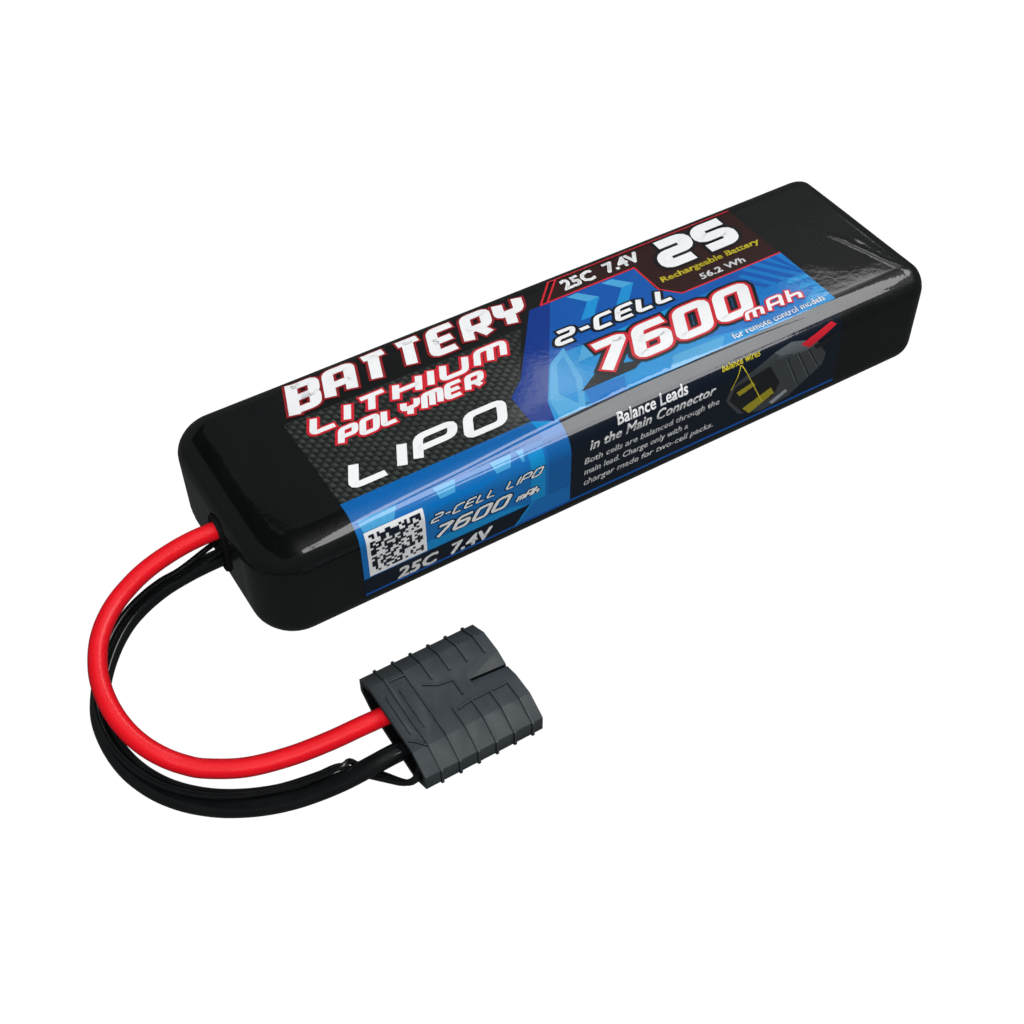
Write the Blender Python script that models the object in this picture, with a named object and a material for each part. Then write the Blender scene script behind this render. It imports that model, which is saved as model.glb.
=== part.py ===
"""A two-cell lithium polymer stick pack: two pouch cells between stiff plates and end caps, wrapped in
glossy film, with two main leads and two balance wires that run to a flat ribbed connector.

Metres. X runs along the pack, with the leads at its low end. The origin is at the middle of the underside.
"""

from math import cos, hypot, radians, sin

import bmesh
import bpy
from mathutils import Vector

MM = 0.001

# The wrapped pack.
PACK_LENGTH = 155 * MM
PACK_WIDTH = 44.5 * MM
PACK_HEIGHT = 24 * MM
LEAD_CORNER = 8.5 * MM  # radius of the upright edges at the lead end
REAR_CORNER = 5.2 * MM  # and at the other end
TOP_EDGE = 5.6 * MM  # how far the top edges are rounded, along the sides and at the lead end
REAR_TOP_EDGE = 3.6 * MM
BOTTOM_EDGE = 5.5 * MM
SMALLEST_CORNER = 0.7 * MM
FILM = 0.5 * MM
GAP = 0.3 * MM  # between pieces that touch

# Inside the film.
PLATE = 1.0 * MM
CAP = 2.5 * MM
DIVIDER = 0.6 * MM
FOAM_PAD = 1.8 * MM
CELL_WIDTH = 41.8 * MM
CELL_EDGE = 2.2 * MM
CELL_LEAD_END = -66 * MM
POUCH_SEAL = 3.5 * MM
POUCH_SEAL_THICKNESS = 0.7 * MM
TAB_WIDTH = 10 * MM
TAB_THICKNESS = 0.25 * MM
TAB_SIDE = 11 * MM  # tabs' distance from the middle
TAB_FOOT = 2.5 * MM
BOARD_REAR = -70.3 * MM
BOARD_THICKNESS = 1.6 * MM
BOARD_WIDTH = 34 * MM
BOARD_LOW = 4.5 * MM
BOARD_HIGH = 19.5 * MM
SOLDER_LENGTH = 1.2 * MM

# Leads. Each exit is where the lead crosses the end face.
LEAD_RADIUS = 1.75 * MM
WIRE_RADIUS = 0.55 * MM
RIDE = LEAD_RADIUS + WIRE_RADIUS + GAP  # from the negative lead's axis to a balance wire's axis
LEAD_SPACING = 1.6 * MM  # between a lead's points
WIRE_SPACING = 1.6 * MM
SIDES = 2  # bevel resolution of a lead
POSITIVE_EXIT = Vector((-77.5, -2.0, 16.0)) * MM
NEGATIVE_EXIT = Vector((-77.5, -1.9, 8.5)) * MM
SLOT_RADIUS = LEAD_RADIUS + 1.6 * MM
GROMMET_FLANGE = 1.2 * MM
GROMMET_PROUD = 0.6 * MM
FLANGE_REACH = 1 * MM

# The connector. It lies on the floor beside the pack, parallel to it.
PLUG_WIRE_END = -68.4 * MM
PLUG_MATING_END = -45.2 * MM
PLUG_MIDDLE = -50.6 * MM
PLUG_WIDTH = 23.9 * MM
PLUG_HEIGHT = 8.0 * MM
PLUG_BEVEL_WIDTH = 4.15 * MM
PLUG_BEVEL_HEIGHT = 2.3 * MM
PLUG_WALL = 1.1 * MM
PLUG_AXIS = PLUG_HEIGHT / 2
POLE = 3.9 * MM  # the main leads' distance from the connector's middle
BULKHEAD = (-56.2 * MM, -54.6 * MM)
PARTITION = 2.6 * MM
RIB_COUNT = 6
RIB_FIRST = 3.1 * MM
RIB_PITCH = 3.6 * MM
RIB_WIDTH = 0.5 * MM
RIB_HEIGHT = 0.35 * MM
RIB_ON_TOP = 4.2 * MM  # how far a rib reaches in over the flat top
RIB_UNDERSIDE = (1.5 * MM, 0.65 * MM)  # where a rib ends below: out from the flat bottom, and up
RIB_ROOT = 0.4 * MM  # how deep a rib's foot sits in the wall
EASE = 0.1 * MM  # what keeps a rib's corners off the housing's own
GROOVE_LENGTH = 7.4 * MM
GROOVE_START = (2.0 * MM, 0.08 * MM)  # half width and depth of the valley where it begins
GROOVE_END = (3.4 * MM, 1.1 * MM)  # and just past the mating end
VALLEY_SLOT = (0.5 * MM, 1.5 * MM)  # width, depth
GRIP_COUNT = 3
GRIP_FIRST = 1.4 * MM
GRIP_PITCH = 1.35 * MM
GRIP_BAR = (0.6 * MM, 9.0 * MM, 0.3 * MM)  # width, length, how far it stands out
OVERSHOOT = 1 * MM  # by how much a cutter passes the face it opens
RETAINER = (-65.4 * MM, -61.9 * MM)
LEAD_END_IN_PLUG = -61.3 * MM
BARREL_LENGTH = 4.3 * MM
BARREL_RADIUS = 2.0 * MM
BLADE = (5.8 * MM, 0.8 * MM)  # width, thickness
BLADE_LIFT = 1.7 * MM
BLADE_SIDE = 4.7 * MM
BLADE_END = -46.6 * MM
NECK_WIDTH = 2.8 * MM
CONTACT_THICKNESS = 0.4 * MM
CONTACT_HEIGHTS = (4.4 * MM, 2.6 * MM)
CONTACT_TALL = 1.0 * MM
CONTACT_SIDE = 9.1 * MM
CONTACT_FOOT = 1.6 * MM  # length of the flat that takes the wire, and of the bend after it
CONTACT_SHORT = 2 * MM  # by how much the strips end short of the blades

# Points that each lead passes through, in millimetres, from the junction board to the connector.
POSITIVE_ROUTE = (
    (-73.7, -2.0, 16.0), (-77.5, -2.0, 16.0), (-83.1, -2.1, 16.0), (-88.0, -2.4, 15.4), (-92.2, -3.0, 14.6),
    (-95.8, -4.1, 13.8), (-99.4, -5.7, 12.8), (-102.5, -8.0, 11.8), (-104.9, -10.8, 10.9),
    (-106.6, -14.1, 10.1), (-107.7, -17.6, 9.3), (-108.1, -21.3, 8.2), (-107.9, -24.9, 7.2),
    (-107.1, -28.3, 6.1), (-105.7, -31.5, 5.0), (-103.7, -34.4, 3.9), (-101.3, -36.8, 2.9),
    (-98.5, -39.0, 2.3), (-92.5, -42.2, 1.95), (-85.1, -44.3, 2.1), (-78.1, -45.7, 3.0), (-72.8, -46.4, 3.8),
    (-68.4, -46.7, 4.0), (-61.3, -46.7, 4.0),
)
NEGATIVE_ROUTE = (
    (-73.7, -1.9, 8.5), (-77.5, -1.9, 8.5), (-81.7, -1.9, 8.4), (-85.5, -1.9, 8.0), (-89.8, -2.1, 7.3),
    (-94.0, -2.8, 6.3), (-97.9, -4.1, 5.2), (-101.2, -6.1, 4.1), (-104.0, -8.6, 3.1), (-106.4, -11.6, 2.4),
    (-108.4, -15.2, 2.0), (-109.8, -19.0, 1.9), (-110.4, -23.0, 1.9), (-110.4, -27.4, 1.9),
    (-109.7, -32.0, 1.9), (-108.3, -36.1, 1.9), (-106.5, -39.6, 1.9), (-104.2, -42.7, 1.9),
    (-101.6, -45.3, 1.9), (-98.8, -47.5, 1.9), (-95.4, -49.5, 1.9), (-91.8, -51.1, 1.9), (-87.7, -52.4, 2.0),
    (-83.2, -53.4, 2.4), (-79.0, -54.2, 3.2), (-75.1, -54.5, 3.8), (-71.5, -54.5, 4.0),
    (-68.4, -54.5, 4.0), (-61.3, -54.5, 4.0),
)
# Where each balance wire sits round the negative lead: degrees from straight up, towards the inside of the
# bend, at the exit, half way and where the wire leaves the lead. Then the points of its own way on.
WIRE_ANGLES = {"balance_wire_a": (48, 12, 58), "balance_wire_b": (12, -24, 28)}
RIDE_FROM = -82 * MM
RIDE_UNTIL = -87 * MM
WIRE_STARTS = {
    "balance_wire_a": ((-73.7, -3.3, 11.9), (-78.2, -3.3, 11.8)),
    "balance_wire_b": ((-73.7, -0.9, 11.9), (-78.2, -1.0, 11.8)),
}
WIRE_ENDS = {
    "balance_wire_a": (
        (-83.0, -51.2, 3.8), (-80.8, -51.45, 4.0), (-79.3, -51.6, 3.9), (-78.3, -51.65, 3.1),
        (-77.6, -51.8, 2.1), (-76.9, -52.5, 1.4), (-75.7, -53.8, 1.25), (-74.2, -55.5, 1.35),
        (-72.6, -57.5, 1.75), (-71.4, -59.2, 2.35), (-70.4, -60.3, 3.2), (-69.4, -60.65, 4.0),
        (-68.2, -60.0, 4.65), (-66.8, -58.5, 5.1), (-65.3, -57.7, 5.2), (-61.3, -57.7, 5.2),
    ),
    "balance_wire_b": (
        (-83.0, -52.3, 4.7), (-80.4, -52.7, 5.3), (-78.7, -52.9, 5.4), (-77.8, -52.3, 4.9),
        (-77.1, -51.9, 4.0), (-76.5, -51.9, 3.0), (-75.8, -52.1, 1.9), (-74.9, -52.8, 1.0),
        (-73.8, -53.95, 0.7), (-72.5, -55.6, 0.7), (-71.3, -57.6, 0.95), (-70.5, -58.95, 1.4),
        (-69.9, -59.8, 2.0), (-69.1, -60.2, 2.7), (-68.2, -59.95, 3.1), (-66.8, -59.3, 3.25),
        (-65.3, -59.1, 3.25), (-61.3, -59.1, 3.25),
    ),
}

CORNER_STEPS = 7
EDGE_STEPS = 6
SHARP_ANGLE = radians(35)


def clear_scene():
    for obj in list(bpy.data.objects):
        bpy.data.objects.remove(obj)


def new_material(name, colour, roughness, metallic=0.0):
    material = bpy.data.materials.new(name)
    material.use_nodes = True
    shader = material.node_tree.nodes["Principled BSDF"]
    shader.inputs["Base Color"].default_value = (*colour, 1.0)
    shader.inputs["Roughness"].default_value = roughness
    shader.inputs["Metallic"].default_value = metallic
    return material


def new_object(name, form, material=None):
    """An object of the finished bmesh, with its faces turned outwards."""
    bmesh.ops.recalc_face_normals(form, faces=form.faces)
    mesh = bpy.data.meshes.new(name)
    form.to_mesh(mesh)
    form.free()
    mesh.shade_smooth()
    mesh.set_sharp_from_angle(angle=SHARP_ANGLE)
    obj = bpy.data.objects.new(name, mesh)
    bpy.context.scene.collection.objects.link(obj)
    if material:
        mesh.materials.append(material)
    return obj


def combine(obj, helper, operation):
    """Cuts, joins or intersects obj with the helper, which stays out of the finished part."""
    helper.hide_render = True
    helper.display_type = "WIRE"
    modifier = obj.modifiers.new(helper.name, "BOOLEAN")
    modifier.operation = operation
    modifier.object = helper
    modifier.solver = "EXACT"


def bevel(obj, width, segments):
    modifier = obj.modifiers.new("rounded edges", "BEVEL")
    modifier.width = width
    modifier.segments = segments
    modifier.limit_method = "ANGLE"


def loft(name, rings, material=None):
    """A closed solid through rings of points, each ring closed on itself and the end rings capped."""
    form = bmesh.new()
    rows = [[form.verts.new(point) for point in ring] for ring in rings]
    for low, high in zip(rows, rows[1:]):
        for i in range(len(low)):
            j = (i + 1) % len(low)
            form.faces.new((low[i], low[j], high[j], high[i]))
    form.faces.new(rows[0][::-1])
    form.faces.new(rows[-1])
    return new_object(name, form, material)


def box(name, low, high, material=None):
    corners = ((low[0], low[1]), (high[0], low[1]), (high[0], high[1]), (low[0], high[1]))
    return loft(name, [[(x, y, z) for x, y in corners] for z in (low[2], high[2])], material)


def prism(name, outline, x_low, x_high, material=None):
    """A solid with the outline (points in Y and Z) drawn along X."""
    return loft(name, [[(x, y, z) for y, z in outline] for x in (x_low, x_high)], material)


def arc(y, z, radius, start, end, steps):
    """Points of an arc in the YZ plane, angles in degrees from +Y towards +Z."""
    angles = [radians(start + (end - start) * i / steps) for i in range(steps + 1)]
    return [(y + radius * cos(a), z + radius * sin(a)) for a in angles]


def plan_outline(x_low, x_high, half_width, lead_radius, rear_radius):
    """A rounded rectangle seen from above, anticlockwise."""
    corners = (
        (x_high - rear_radius, half_width - rear_radius, rear_radius, 0),
        (x_low + lead_radius, half_width - lead_radius, lead_radius, 90),
        (x_low + lead_radius, lead_radius - half_width, lead_radius, 180),
        (x_high - rear_radius, rear_radius - half_width, rear_radius, 270),
    )
    points = []
    for x, y, radius, start in corners:
        points += arc(x, y, radius, start, start + 90, CORNER_STEPS)
    return points


def pack_block(name, inset, material=None):
    """The wrapped pack's outer form, drawn in by inset all round."""
    half_length = PACK_LENGTH / 2 - inset
    half_width = PACK_WIDTH / 2 - inset
    angles = [radians(90 * i / EDGE_STEPS) for i in range(EDGE_STEPS + 1)]
    levels = []
    for angle in angles[::-1]:
        drop = (BOTTOM_EDGE - inset) * (1 - sin(angle))
        levels.append((inset + drop, 1 - cos(angle), (BOTTOM_EDGE,) * 3))
    for angle in angles:
        drop = (TOP_EDGE - inset) * (1 - sin(angle))
        levels.append((PACK_HEIGHT - inset - drop, 1 - cos(angle), (TOP_EDGE, TOP_EDGE, REAR_TOP_EDGE)))
    rings = []
    for z, share, edges in levels:
        side, lead, rear = [(edge - inset) * share for edge in edges]
        lead_radius = max(LEAD_CORNER - inset - side, SMALLEST_CORNER)
        rear_radius = max(REAR_CORNER - inset - side, SMALLEST_CORNER)
        ends = (lead - half_length, half_length - rear)
        outline = plan_outline(*ends, half_width - side, lead_radius, rear_radius)
        rings.append([(x, y, z) for x, y in outline])
    return loft(name, rings, material)


def pack_slice(name, low, high, material):
    """What lies between two corners of the space inside the film."""
    obj = pack_block(name, FILM + GAP, material)
    combine(obj, box(name + "_limits", low, high), "INTERSECT")
    return obj


def lead_slot(name, radius, x_low, x_high, material=None):
    """A slot with round ends, each end on the axis of one main lead."""
    top = arc(POSITIVE_EXIT.y, POSITIVE_EXIT.z, radius, 0, 180, 10)
    bottom = arc(NEGATIVE_EXIT.y, NEGATIVE_EXIT.z, radius, 180, 360, 10)
    return prism(name, top + bottom, x_low, x_high, material)


def rod(name, x_low, x_high, y, z, radius_low, radius_high, sides, material=None):
    """A round or tapered bar along X."""
    rings = []
    for x, radius in ((x_low, radius_low), (x_high, radius_high)):
        circle = arc(y, z, radius, 0, 360 - 360 / sides, sides - 1)
        rings.append([(x, cy, cz) for cy, cz in circle])
    return loft(name, rings, material)


def make_film():
    black = new_material("wrap film", (0.012, 0.013, 0.014), 0.12)
    film = pack_block("wrap_sleeve", 0, black)
    combine(film, pack_block("film_inside", FILM), "DIFFERENCE")
    end = -PACK_LENGTH / 2
    combine(film, lead_slot("film_slot", SLOT_RADIUS, end - 3 * MM, end + 1.5 * MM), "DIFFERENCE")


def make_plates():
    stiff = new_material("stiffener sheet", (0.62, 0.6, 0.52), 0.6)
    moulded = new_material("end cap", (0.05, 0.05, 0.055), 0.5)
    foam = new_material("foam", (0.16, 0.16, 0.17), 0.95)
    end = PACK_LENGTH / 2 - FILM - GAP
    x_low = CAP + GAP - end
    x_high = end - CAP - GAP
    far = PACK_LENGTH
    skin = FILM + GAP
    pack_slice("bottom_plate", (x_low, -far, 0), (x_high, far, skin + PLATE), stiff)
    pack_slice("top_plate", (x_low, -far, PACK_HEIGHT - skin - PLATE), (x_high, far, PACK_HEIGHT), stiff)
    pack_slice("rear_end_cap", (end - CAP, -far, 0), (far, far, far), moulded)
    lead_cap = pack_slice("lead_end_cap", (-far, -far, 0), (CAP - end, far, far), moulded)
    combine(lead_cap, lead_slot("cap_slot", SLOT_RADIUS, -end - 3 * MM, CAP - end + 1 * MM), "DIFFERENCE")
    low = cell_floor() + CELL_EDGE
    high = PACK_HEIGHT - low
    pad = box("rear_foam_pad", (x_high - FOAM_PAD, -18 * MM, low), (x_high, 18 * MM, high), foam)
    bevel(pad, 0.4 * MM, 2)


def cell_floor():
    return FILM + GAP + PLATE + GAP


def make_cells():
    pouch = new_material("cell pouch", (0.55, 0.56, 0.58), 0.35, 0.85)
    tape = new_material("foam tape", (0.75, 0.74, 0.7), 0.9)
    metals = {
        "positive": new_material("aluminium tab", (0.78, 0.78, 0.77), 0.3, 1.0),
        "negative": new_material("nickel tab", (0.66, 0.64, 0.6), 0.35, 1.0),
    }
    middle = PACK_HEIGHT / 2
    rear = PACK_LENGTH / 2 - FILM - GAP - CAP - GAP - FOAM_PAD - GAP
    thick = middle - DIVIDER / 2 - GAP - cell_floor()
    half = CELL_WIDTH / 2
    body_start = CELL_LEAD_END + POUCH_SEAL
    for name, floor in (("cell_lower", cell_floor()), ("cell_upper", middle + DIVIDER / 2 + GAP)):
        cell = box(name, (body_start, -half, floor), (rear, half, floor + thick), pouch)
        bevel(cell, CELL_EDGE, 3)
        centre = floor + thick / 2
        low = (CELL_LEAD_END, CELL_EDGE - half, centre - POUCH_SEAL_THICKNESS / 2)
        high = (body_start + 1 * MM, half - CELL_EDGE, centre + POUCH_SEAL_THICKNESS / 2)
        combine(cell, box(name + "_seal", low, high), "UNION")
        make_tabs(name, centre, metals)
    low = (body_start + CELL_EDGE, CELL_EDGE - half, middle - DIVIDER / 2)
    high = (rear - CELL_EDGE, half - CELL_EDGE, middle + DIVIDER / 2)
    box("cell_divider", low, high, tape)


def make_tabs(cell, height, metals):
    """A cell's two tabs: each runs from the pouch seal to the junction board and turns along it."""
    towards_middle = 1 if cell == "cell_lower" else -1
    start = CELL_LEAD_END - GAP
    end = BOARD_REAR + GAP
    for pole, side in (("positive", 1), ("negative", -1)):
        thick = TAB_THICKNESS * towards_middle
        foot = TAB_FOOT * towards_middle
        profile = (
            (start, 0), (end, 0), (end, foot), (end + TAB_THICKNESS, foot),
            (end + TAB_THICKNESS, thick), (start, thick),
        )
        edges = [TAB_SIDE * side - TAB_WIDTH / 2, TAB_SIDE * side + TAB_WIDTH / 2]
        rings = [[(x, y, height + z) for x, z in profile] for y in edges]
        loft(f"{cell}_{pole}_tab", rings, metals[pole])


def make_board():
    laminate = new_material("board laminate", (0.02, 0.16, 0.07), 0.45)
    paper = new_material("insulation paper", (0.1, 0.22, 0.2), 0.8)
    solder = new_material("solder", (0.72, 0.72, 0.74), 0.3, 1.0)
    front = BOARD_REAR - BOARD_THICKNESS
    half = BOARD_WIDTH / 2
    board = box("junction_board", (front, -half, BOARD_LOW), (BOARD_REAR, half, BOARD_HIGH), laminate)
    bevel(board, 0.3 * MM, 1)
    middle = PACK_HEIGHT / 2
    paper_low = (BOARD_REAR + 2 * GAP, -half, middle - 0.2 * MM)
    paper_high = (CELL_LEAD_END + POUCH_SEAL - GAP, half, middle + 0.2 * MM)
    box("tab_insulator", paper_low, paper_high, paper)
    ends = {
        "positive_solder_joint": (POSITIVE_ROUTE[0], LEAD_RADIUS),
        "negative_solder_joint": (NEGATIVE_ROUTE[0], LEAD_RADIUS),
        "balance_solder_joint_a": (WIRE_STARTS["balance_wire_a"][0], WIRE_RADIUS),
        "balance_solder_joint_b": (WIRE_STARTS["balance_wire_b"][0], WIRE_RADIUS),
    }
    for name, (point, radius) in ends.items():
        y, z = point[1] * MM, point[2] * MM
        pad = front - GAP
        rod(name, pad - SOLDER_LENGTH, pad, y, z, radius * 0.85, radius * 1.1, 14, solder)


def make_grommet():
    rubber = new_material("grommet rubber", (0.015, 0.015, 0.016), 0.6)
    end = -PACK_LENGTH / 2
    inside = end + FILM + GAP + CAP + GAP
    low, high = end - GROMMET_PROUD, inside + GROMMET_FLANGE / 2
    grommet = lead_slot("lead_grommet", SLOT_RADIUS - GAP, low, high, rubber)
    flange = lead_slot("grommet_flange", SLOT_RADIUS + FLANGE_REACH, inside, inside + GROMMET_FLANGE)
    combine(grommet, flange, "UNION")
    bores = [(POSITIVE_EXIT, LEAD_RADIUS), (NEGATIVE_EXIT, LEAD_RADIUS)]
    for points in WIRE_STARTS.values():
        bores.append((Vector(points[1]) * MM, WIRE_RADIUS))
    for i, (point, radius) in enumerate(bores):
        low, high = end - 2 * GROMMET_PROUD, inside + 2 * GROMMET_FLANGE
        reach = radius + GAP
        bore = rod(f"grommet_bore_{i}", low, high, point.y, point.z, reach, reach, 16)
        combine(grommet, bore, "DIFFERENCE")


def spline_points(points, spacing):
    """Points at even steps along a smooth curve through the given points."""
    knots = [points[0] * 2 - points[1], *points, points[-1] * 2 - points[-2]]
    fine = []
    for before, start, end, after in zip(knots, knots[1:], knots[2:], knots[3:]):
        for i in range(12):
            t = i / 12
            bend = 2 * before - 5 * start + 4 * end - after
            turn = 3 * (start - end) + after - before
            fine.append(start + 0.5 * (t * (end - before) + t * t * bend + t * t * t * turn))
    fine.append(points[-1])
    travelled = [0.0]
    for a, b in zip(fine, fine[1:]):
        travelled.append(travelled[-1] + (b - a).length)
    count = max(2, round(travelled[-1] / spacing))
    evenly = []
    at = 0
    for i in range(count + 1):
        wanted = travelled[-1] * i / count
        while at < len(fine) - 2 and travelled[at + 1] < wanted:
            at += 1
        share = (wanted - travelled[at]) / (travelled[at + 1] - travelled[at])
        evenly.append(fine[at].lerp(fine[at + 1], share))
    return evenly


def riding_points(name):
    """A balance wire's points along the negative lead, turned slowly round the lead's axis."""
    lead = spline_points([Vector(p) * MM for p in NEGATIVE_ROUTE], 4 * MM)
    start = next(i for i, p in enumerate(lead) if p.x < RIDE_FROM)
    turn = min(range(len(lead)), key=lambda i: lead[i].x)
    end = max(i for i, p in enumerate(lead) if p.x < RIDE_UNTIL and i > turn)
    first, middle, last = WIRE_ANGLES[name]
    points = []
    for i in range(start, end + 1):
        along = (lead[i + 1] - lead[i - 1]).normalized()
        inside = Vector((-along.y, along.x, 0)).normalized()
        share = (i - start) / (end - start)
        angle = radians(first * (1 - share) ** 2 + middle * 2 * share * (1 - share) + last * share**2)
        above = along.cross(inside)
        points.append(lead[i] + RIDE * (sin(angle) * inside + cos(angle) * above))
    return points


def tube(name, points, radius, material):
    curve = bpy.data.curves.new(name, "CURVE")
    curve.dimensions = "3D"
    curve.bevel_depth = radius
    curve.bevel_resolution = SIDES
    curve.use_fill_caps = True
    spline = curve.splines.new("POLY")
    spline.points.add(len(points) - 1)
    for knot, point in zip(spline.points, points):
        knot.co = (*point, 1)
    spline.use_smooth = True
    curve.materials.append(material)
    bpy.context.scene.collection.objects.link(bpy.data.objects.new(name, curve))


def make_leads():
    red = new_material("red silicone", (0.75, 0.02, 0.025), 0.35)
    black = new_material("black silicone", (0.02, 0.022, 0.025), 0.35)
    routes = (("positive_lead", POSITIVE_ROUTE, red), ("negative_lead", NEGATIVE_ROUTE, black))
    for name, route, material in routes:
        points = spline_points([Vector(p) * MM for p in route], LEAD_SPACING)
        tube(name, points, LEAD_RADIUS, material)
    for name in WIRE_STARTS:
        knots = [Vector(p) * MM for p in WIRE_STARTS[name]]
        knots += riding_points(name)
        knots += [Vector(p) * MM for p in WIRE_ENDS[name]]
        tube(name, spline_points(knots, WIRE_SPACING), WIRE_RADIUS, black)


def plug_outline(inset):
    """The connector's eight-sided section, drawn in by inset, anticlockwise seen from the mating end."""
    half = PLUG_WIDTH / 2 - inset
    slope = hypot(PLUG_BEVEL_WIDTH, PLUG_BEVEL_HEIGHT)
    flat = PLUG_WIDTH / 2 - PLUG_BEVEL_WIDTH + inset * (PLUG_BEVEL_WIDTH - slope) / PLUG_BEVEL_HEIGHT
    low = PLUG_BEVEL_HEIGHT + inset * (slope - PLUG_BEVEL_HEIGHT) / PLUG_BEVEL_WIDTH
    corners = ((half, low), (flat, inset))
    lower_right = [(y, z) for y, z in corners]
    upper_right = [(y, PLUG_HEIGHT - z) for y, z in corners]
    lower_left = [(-y, z) for y, z in corners]
    upper_left = [(-y, PLUG_HEIGHT - z) for y, z in corners]
    outline = lower_right[::-1] + upper_right + upper_left[::-1] + lower_left
    return [(PLUG_MIDDLE + y, z) for y, z in outline]


def rib_outline(side):
    """The section of one rib: it wraps the connector's side and reaches in over its top."""
    half = PLUG_WIDTH / 2
    flat = half - PLUG_BEVEL_WIDTH
    shoulder = PLUG_HEIGHT - PLUG_BEVEL_HEIGHT
    end = flat + RIB_UNDERSIDE[0]
    outer = (
        (flat - RIB_ON_TOP, PLUG_HEIGHT + RIB_HEIGHT),
        (flat + EASE, PLUG_HEIGHT + RIB_HEIGHT),
        (half + RIB_HEIGHT, shoulder + EASE),
        (half + RIB_HEIGHT, PLUG_BEVEL_HEIGHT - EASE),
        (end, RIB_UNDERSIDE[1]),
    )
    inner = (
        (end, RIB_UNDERSIDE[1] + 2 * RIB_ROOT),
        (half - RIB_ROOT, PLUG_BEVEL_HEIGHT + RIB_ROOT),
        (half - RIB_ROOT, shoulder - RIB_ROOT),
        (flat - EASE, PLUG_HEIGHT - RIB_ROOT),
        (flat - RIB_ON_TOP, PLUG_HEIGHT - RIB_ROOT),
    )
    return [(PLUG_MIDDLE + side * y, z) for y, z in outer + inner]


def half_octagon(side, x_low, x_high, name):
    """One of the two chambers in the mating end, from the partition to the outer wall."""
    centre = PLUG_MIDDLE
    near = PARTITION / 2
    points = [(y, z) for y, z in plug_outline(PLUG_WALL) if side * (y - centre) > 0]
    points.sort(key=lambda p: p[1])
    low, high = points[0][1], points[-1][1]
    outline = [(centre + side * near, low), *points, (centre + side * near, high)]
    return prism(name, outline, x_low, x_high)


def groove_cutter():
    """A shallow valley in the top that deepens towards the mating end."""
    above = PLUG_HEIGHT + OVERSHOOT
    middle = PLUG_MIDDLE
    rings = []
    for x, (half, depth) in (
        (PLUG_MATING_END - GROOVE_LENGTH, GROOVE_START),
        (PLUG_MATING_END + OVERSHOOT, GROOVE_END),
    ):
        rings.append([
            (x, middle - half, PLUG_HEIGHT),
            (x, middle, PLUG_HEIGHT - depth),
            (x, middle + half, PLUG_HEIGHT),
            (x, middle + half, above),
            (x, middle - half, above),
        ])
    return loft("plug_groove", rings)


def make_housing():
    nylon = new_material("connector nylon", (0.055, 0.062, 0.07), 0.5)
    housing = prism("connector_housing", plug_outline(0), PLUG_WIRE_END, PLUG_MATING_END, nylon)
    rear = prism("plug_rear_hollow", plug_outline(PLUG_WALL), PLUG_WIRE_END - OVERSHOOT, BULKHEAD[0])
    combine(housing, rear, "DIFFERENCE")
    for side, pole in ((1, "positive"), (-1, "negative")):
        chamber = half_octagon(side, BULKHEAD[1], PLUG_MATING_END + OVERSHOOT, f"plug_chamber_{pole}")
        combine(housing, chamber, "DIFFERENCE")
        middle = PLUG_MIDDLE + side * BLADE_SIDE
        reach = BLADE[0] / 2 + GAP
        low = (BULKHEAD[0] - OVERSHOOT, middle - reach, BLADE_LIFT - GAP)
        high = (BULKHEAD[1] + OVERSHOOT, middle + reach, BLADE_LIFT + BLADE[1] + GAP)
        combine(housing, box(f"plug_blade_way_{pole}", low, high), "DIFFERENCE")
    for i, lift in enumerate(CONTACT_HEIGHTS):
        y = PLUG_MIDDLE - CONTACT_SIDE
        reach = CONTACT_THICKNESS / 2 + GAP
        low = (BULKHEAD[0] - OVERSHOOT, y - reach, lift - GAP)
        high = (BULKHEAD[1] + OVERSHOOT, y + reach, lift + CONTACT_TALL + GAP)
        combine(housing, box(f"plug_contact_way_{i}", low, high), "DIFFERENCE")
    for side in (1, -1):
        for i in range(RIB_COUNT):
            x = PLUG_WIRE_END + RIB_FIRST + i * RIB_PITCH
            rib = prism(f"plug_rib_{side}_{i}", rib_outline(side), x - RIB_WIDTH / 2, x + RIB_WIDTH / 2)
            combine(housing, rib, "UNION")
    width, length, tall = GRIP_BAR
    for i in range(GRIP_COUNT):
        x = PLUG_WIRE_END + GRIP_FIRST + GRIP_PITCH * i
        low = (x, PLUG_MIDDLE - length / 2, PLUG_HEIGHT - tall)
        high = (x + width, PLUG_MIDDLE + length / 2, PLUG_HEIGHT + tall)
        combine(housing, box(f"plug_grip_{i}", low, high), "UNION")
    combine(housing, groove_cutter(), "DIFFERENCE")
    width, depth = VALLEY_SLOT
    low = (PLUG_MATING_END - GROOVE_LENGTH, PLUG_MIDDLE - width / 2, PLUG_HEIGHT - depth)
    high = (PLUG_MATING_END + OVERSHOOT, PLUG_MIDDLE + width / 2, PLUG_HEIGHT + OVERSHOOT)
    combine(housing, box("plug_valley_slot", low, high), "DIFFERENCE")


def make_retainer():
    dark = new_material("retainer nylon", (0.02, 0.022, 0.024), 0.6)
    retainer = prism("terminal_retainer", plug_outline(PLUG_WALL + GAP), *RETAINER, dark)
    bores = [(PLUG_MIDDLE + side * POLE, PLUG_AXIS, LEAD_RADIUS) for side in (1, -1)]
    for points in WIRE_ENDS.values():
        bores.append((points[-1][1] * MM, points[-1][2] * MM, WIRE_RADIUS))
    for i, (y, z, radius) in enumerate(bores):
        reach = radius + GAP
        low, high = RETAINER[0] - OVERSHOOT, RETAINER[1] + OVERSHOOT
        combine(retainer, rod(f"retainer_bore_{i}", low, high, y, z, reach, reach, 16), "DIFFERENCE")


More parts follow.
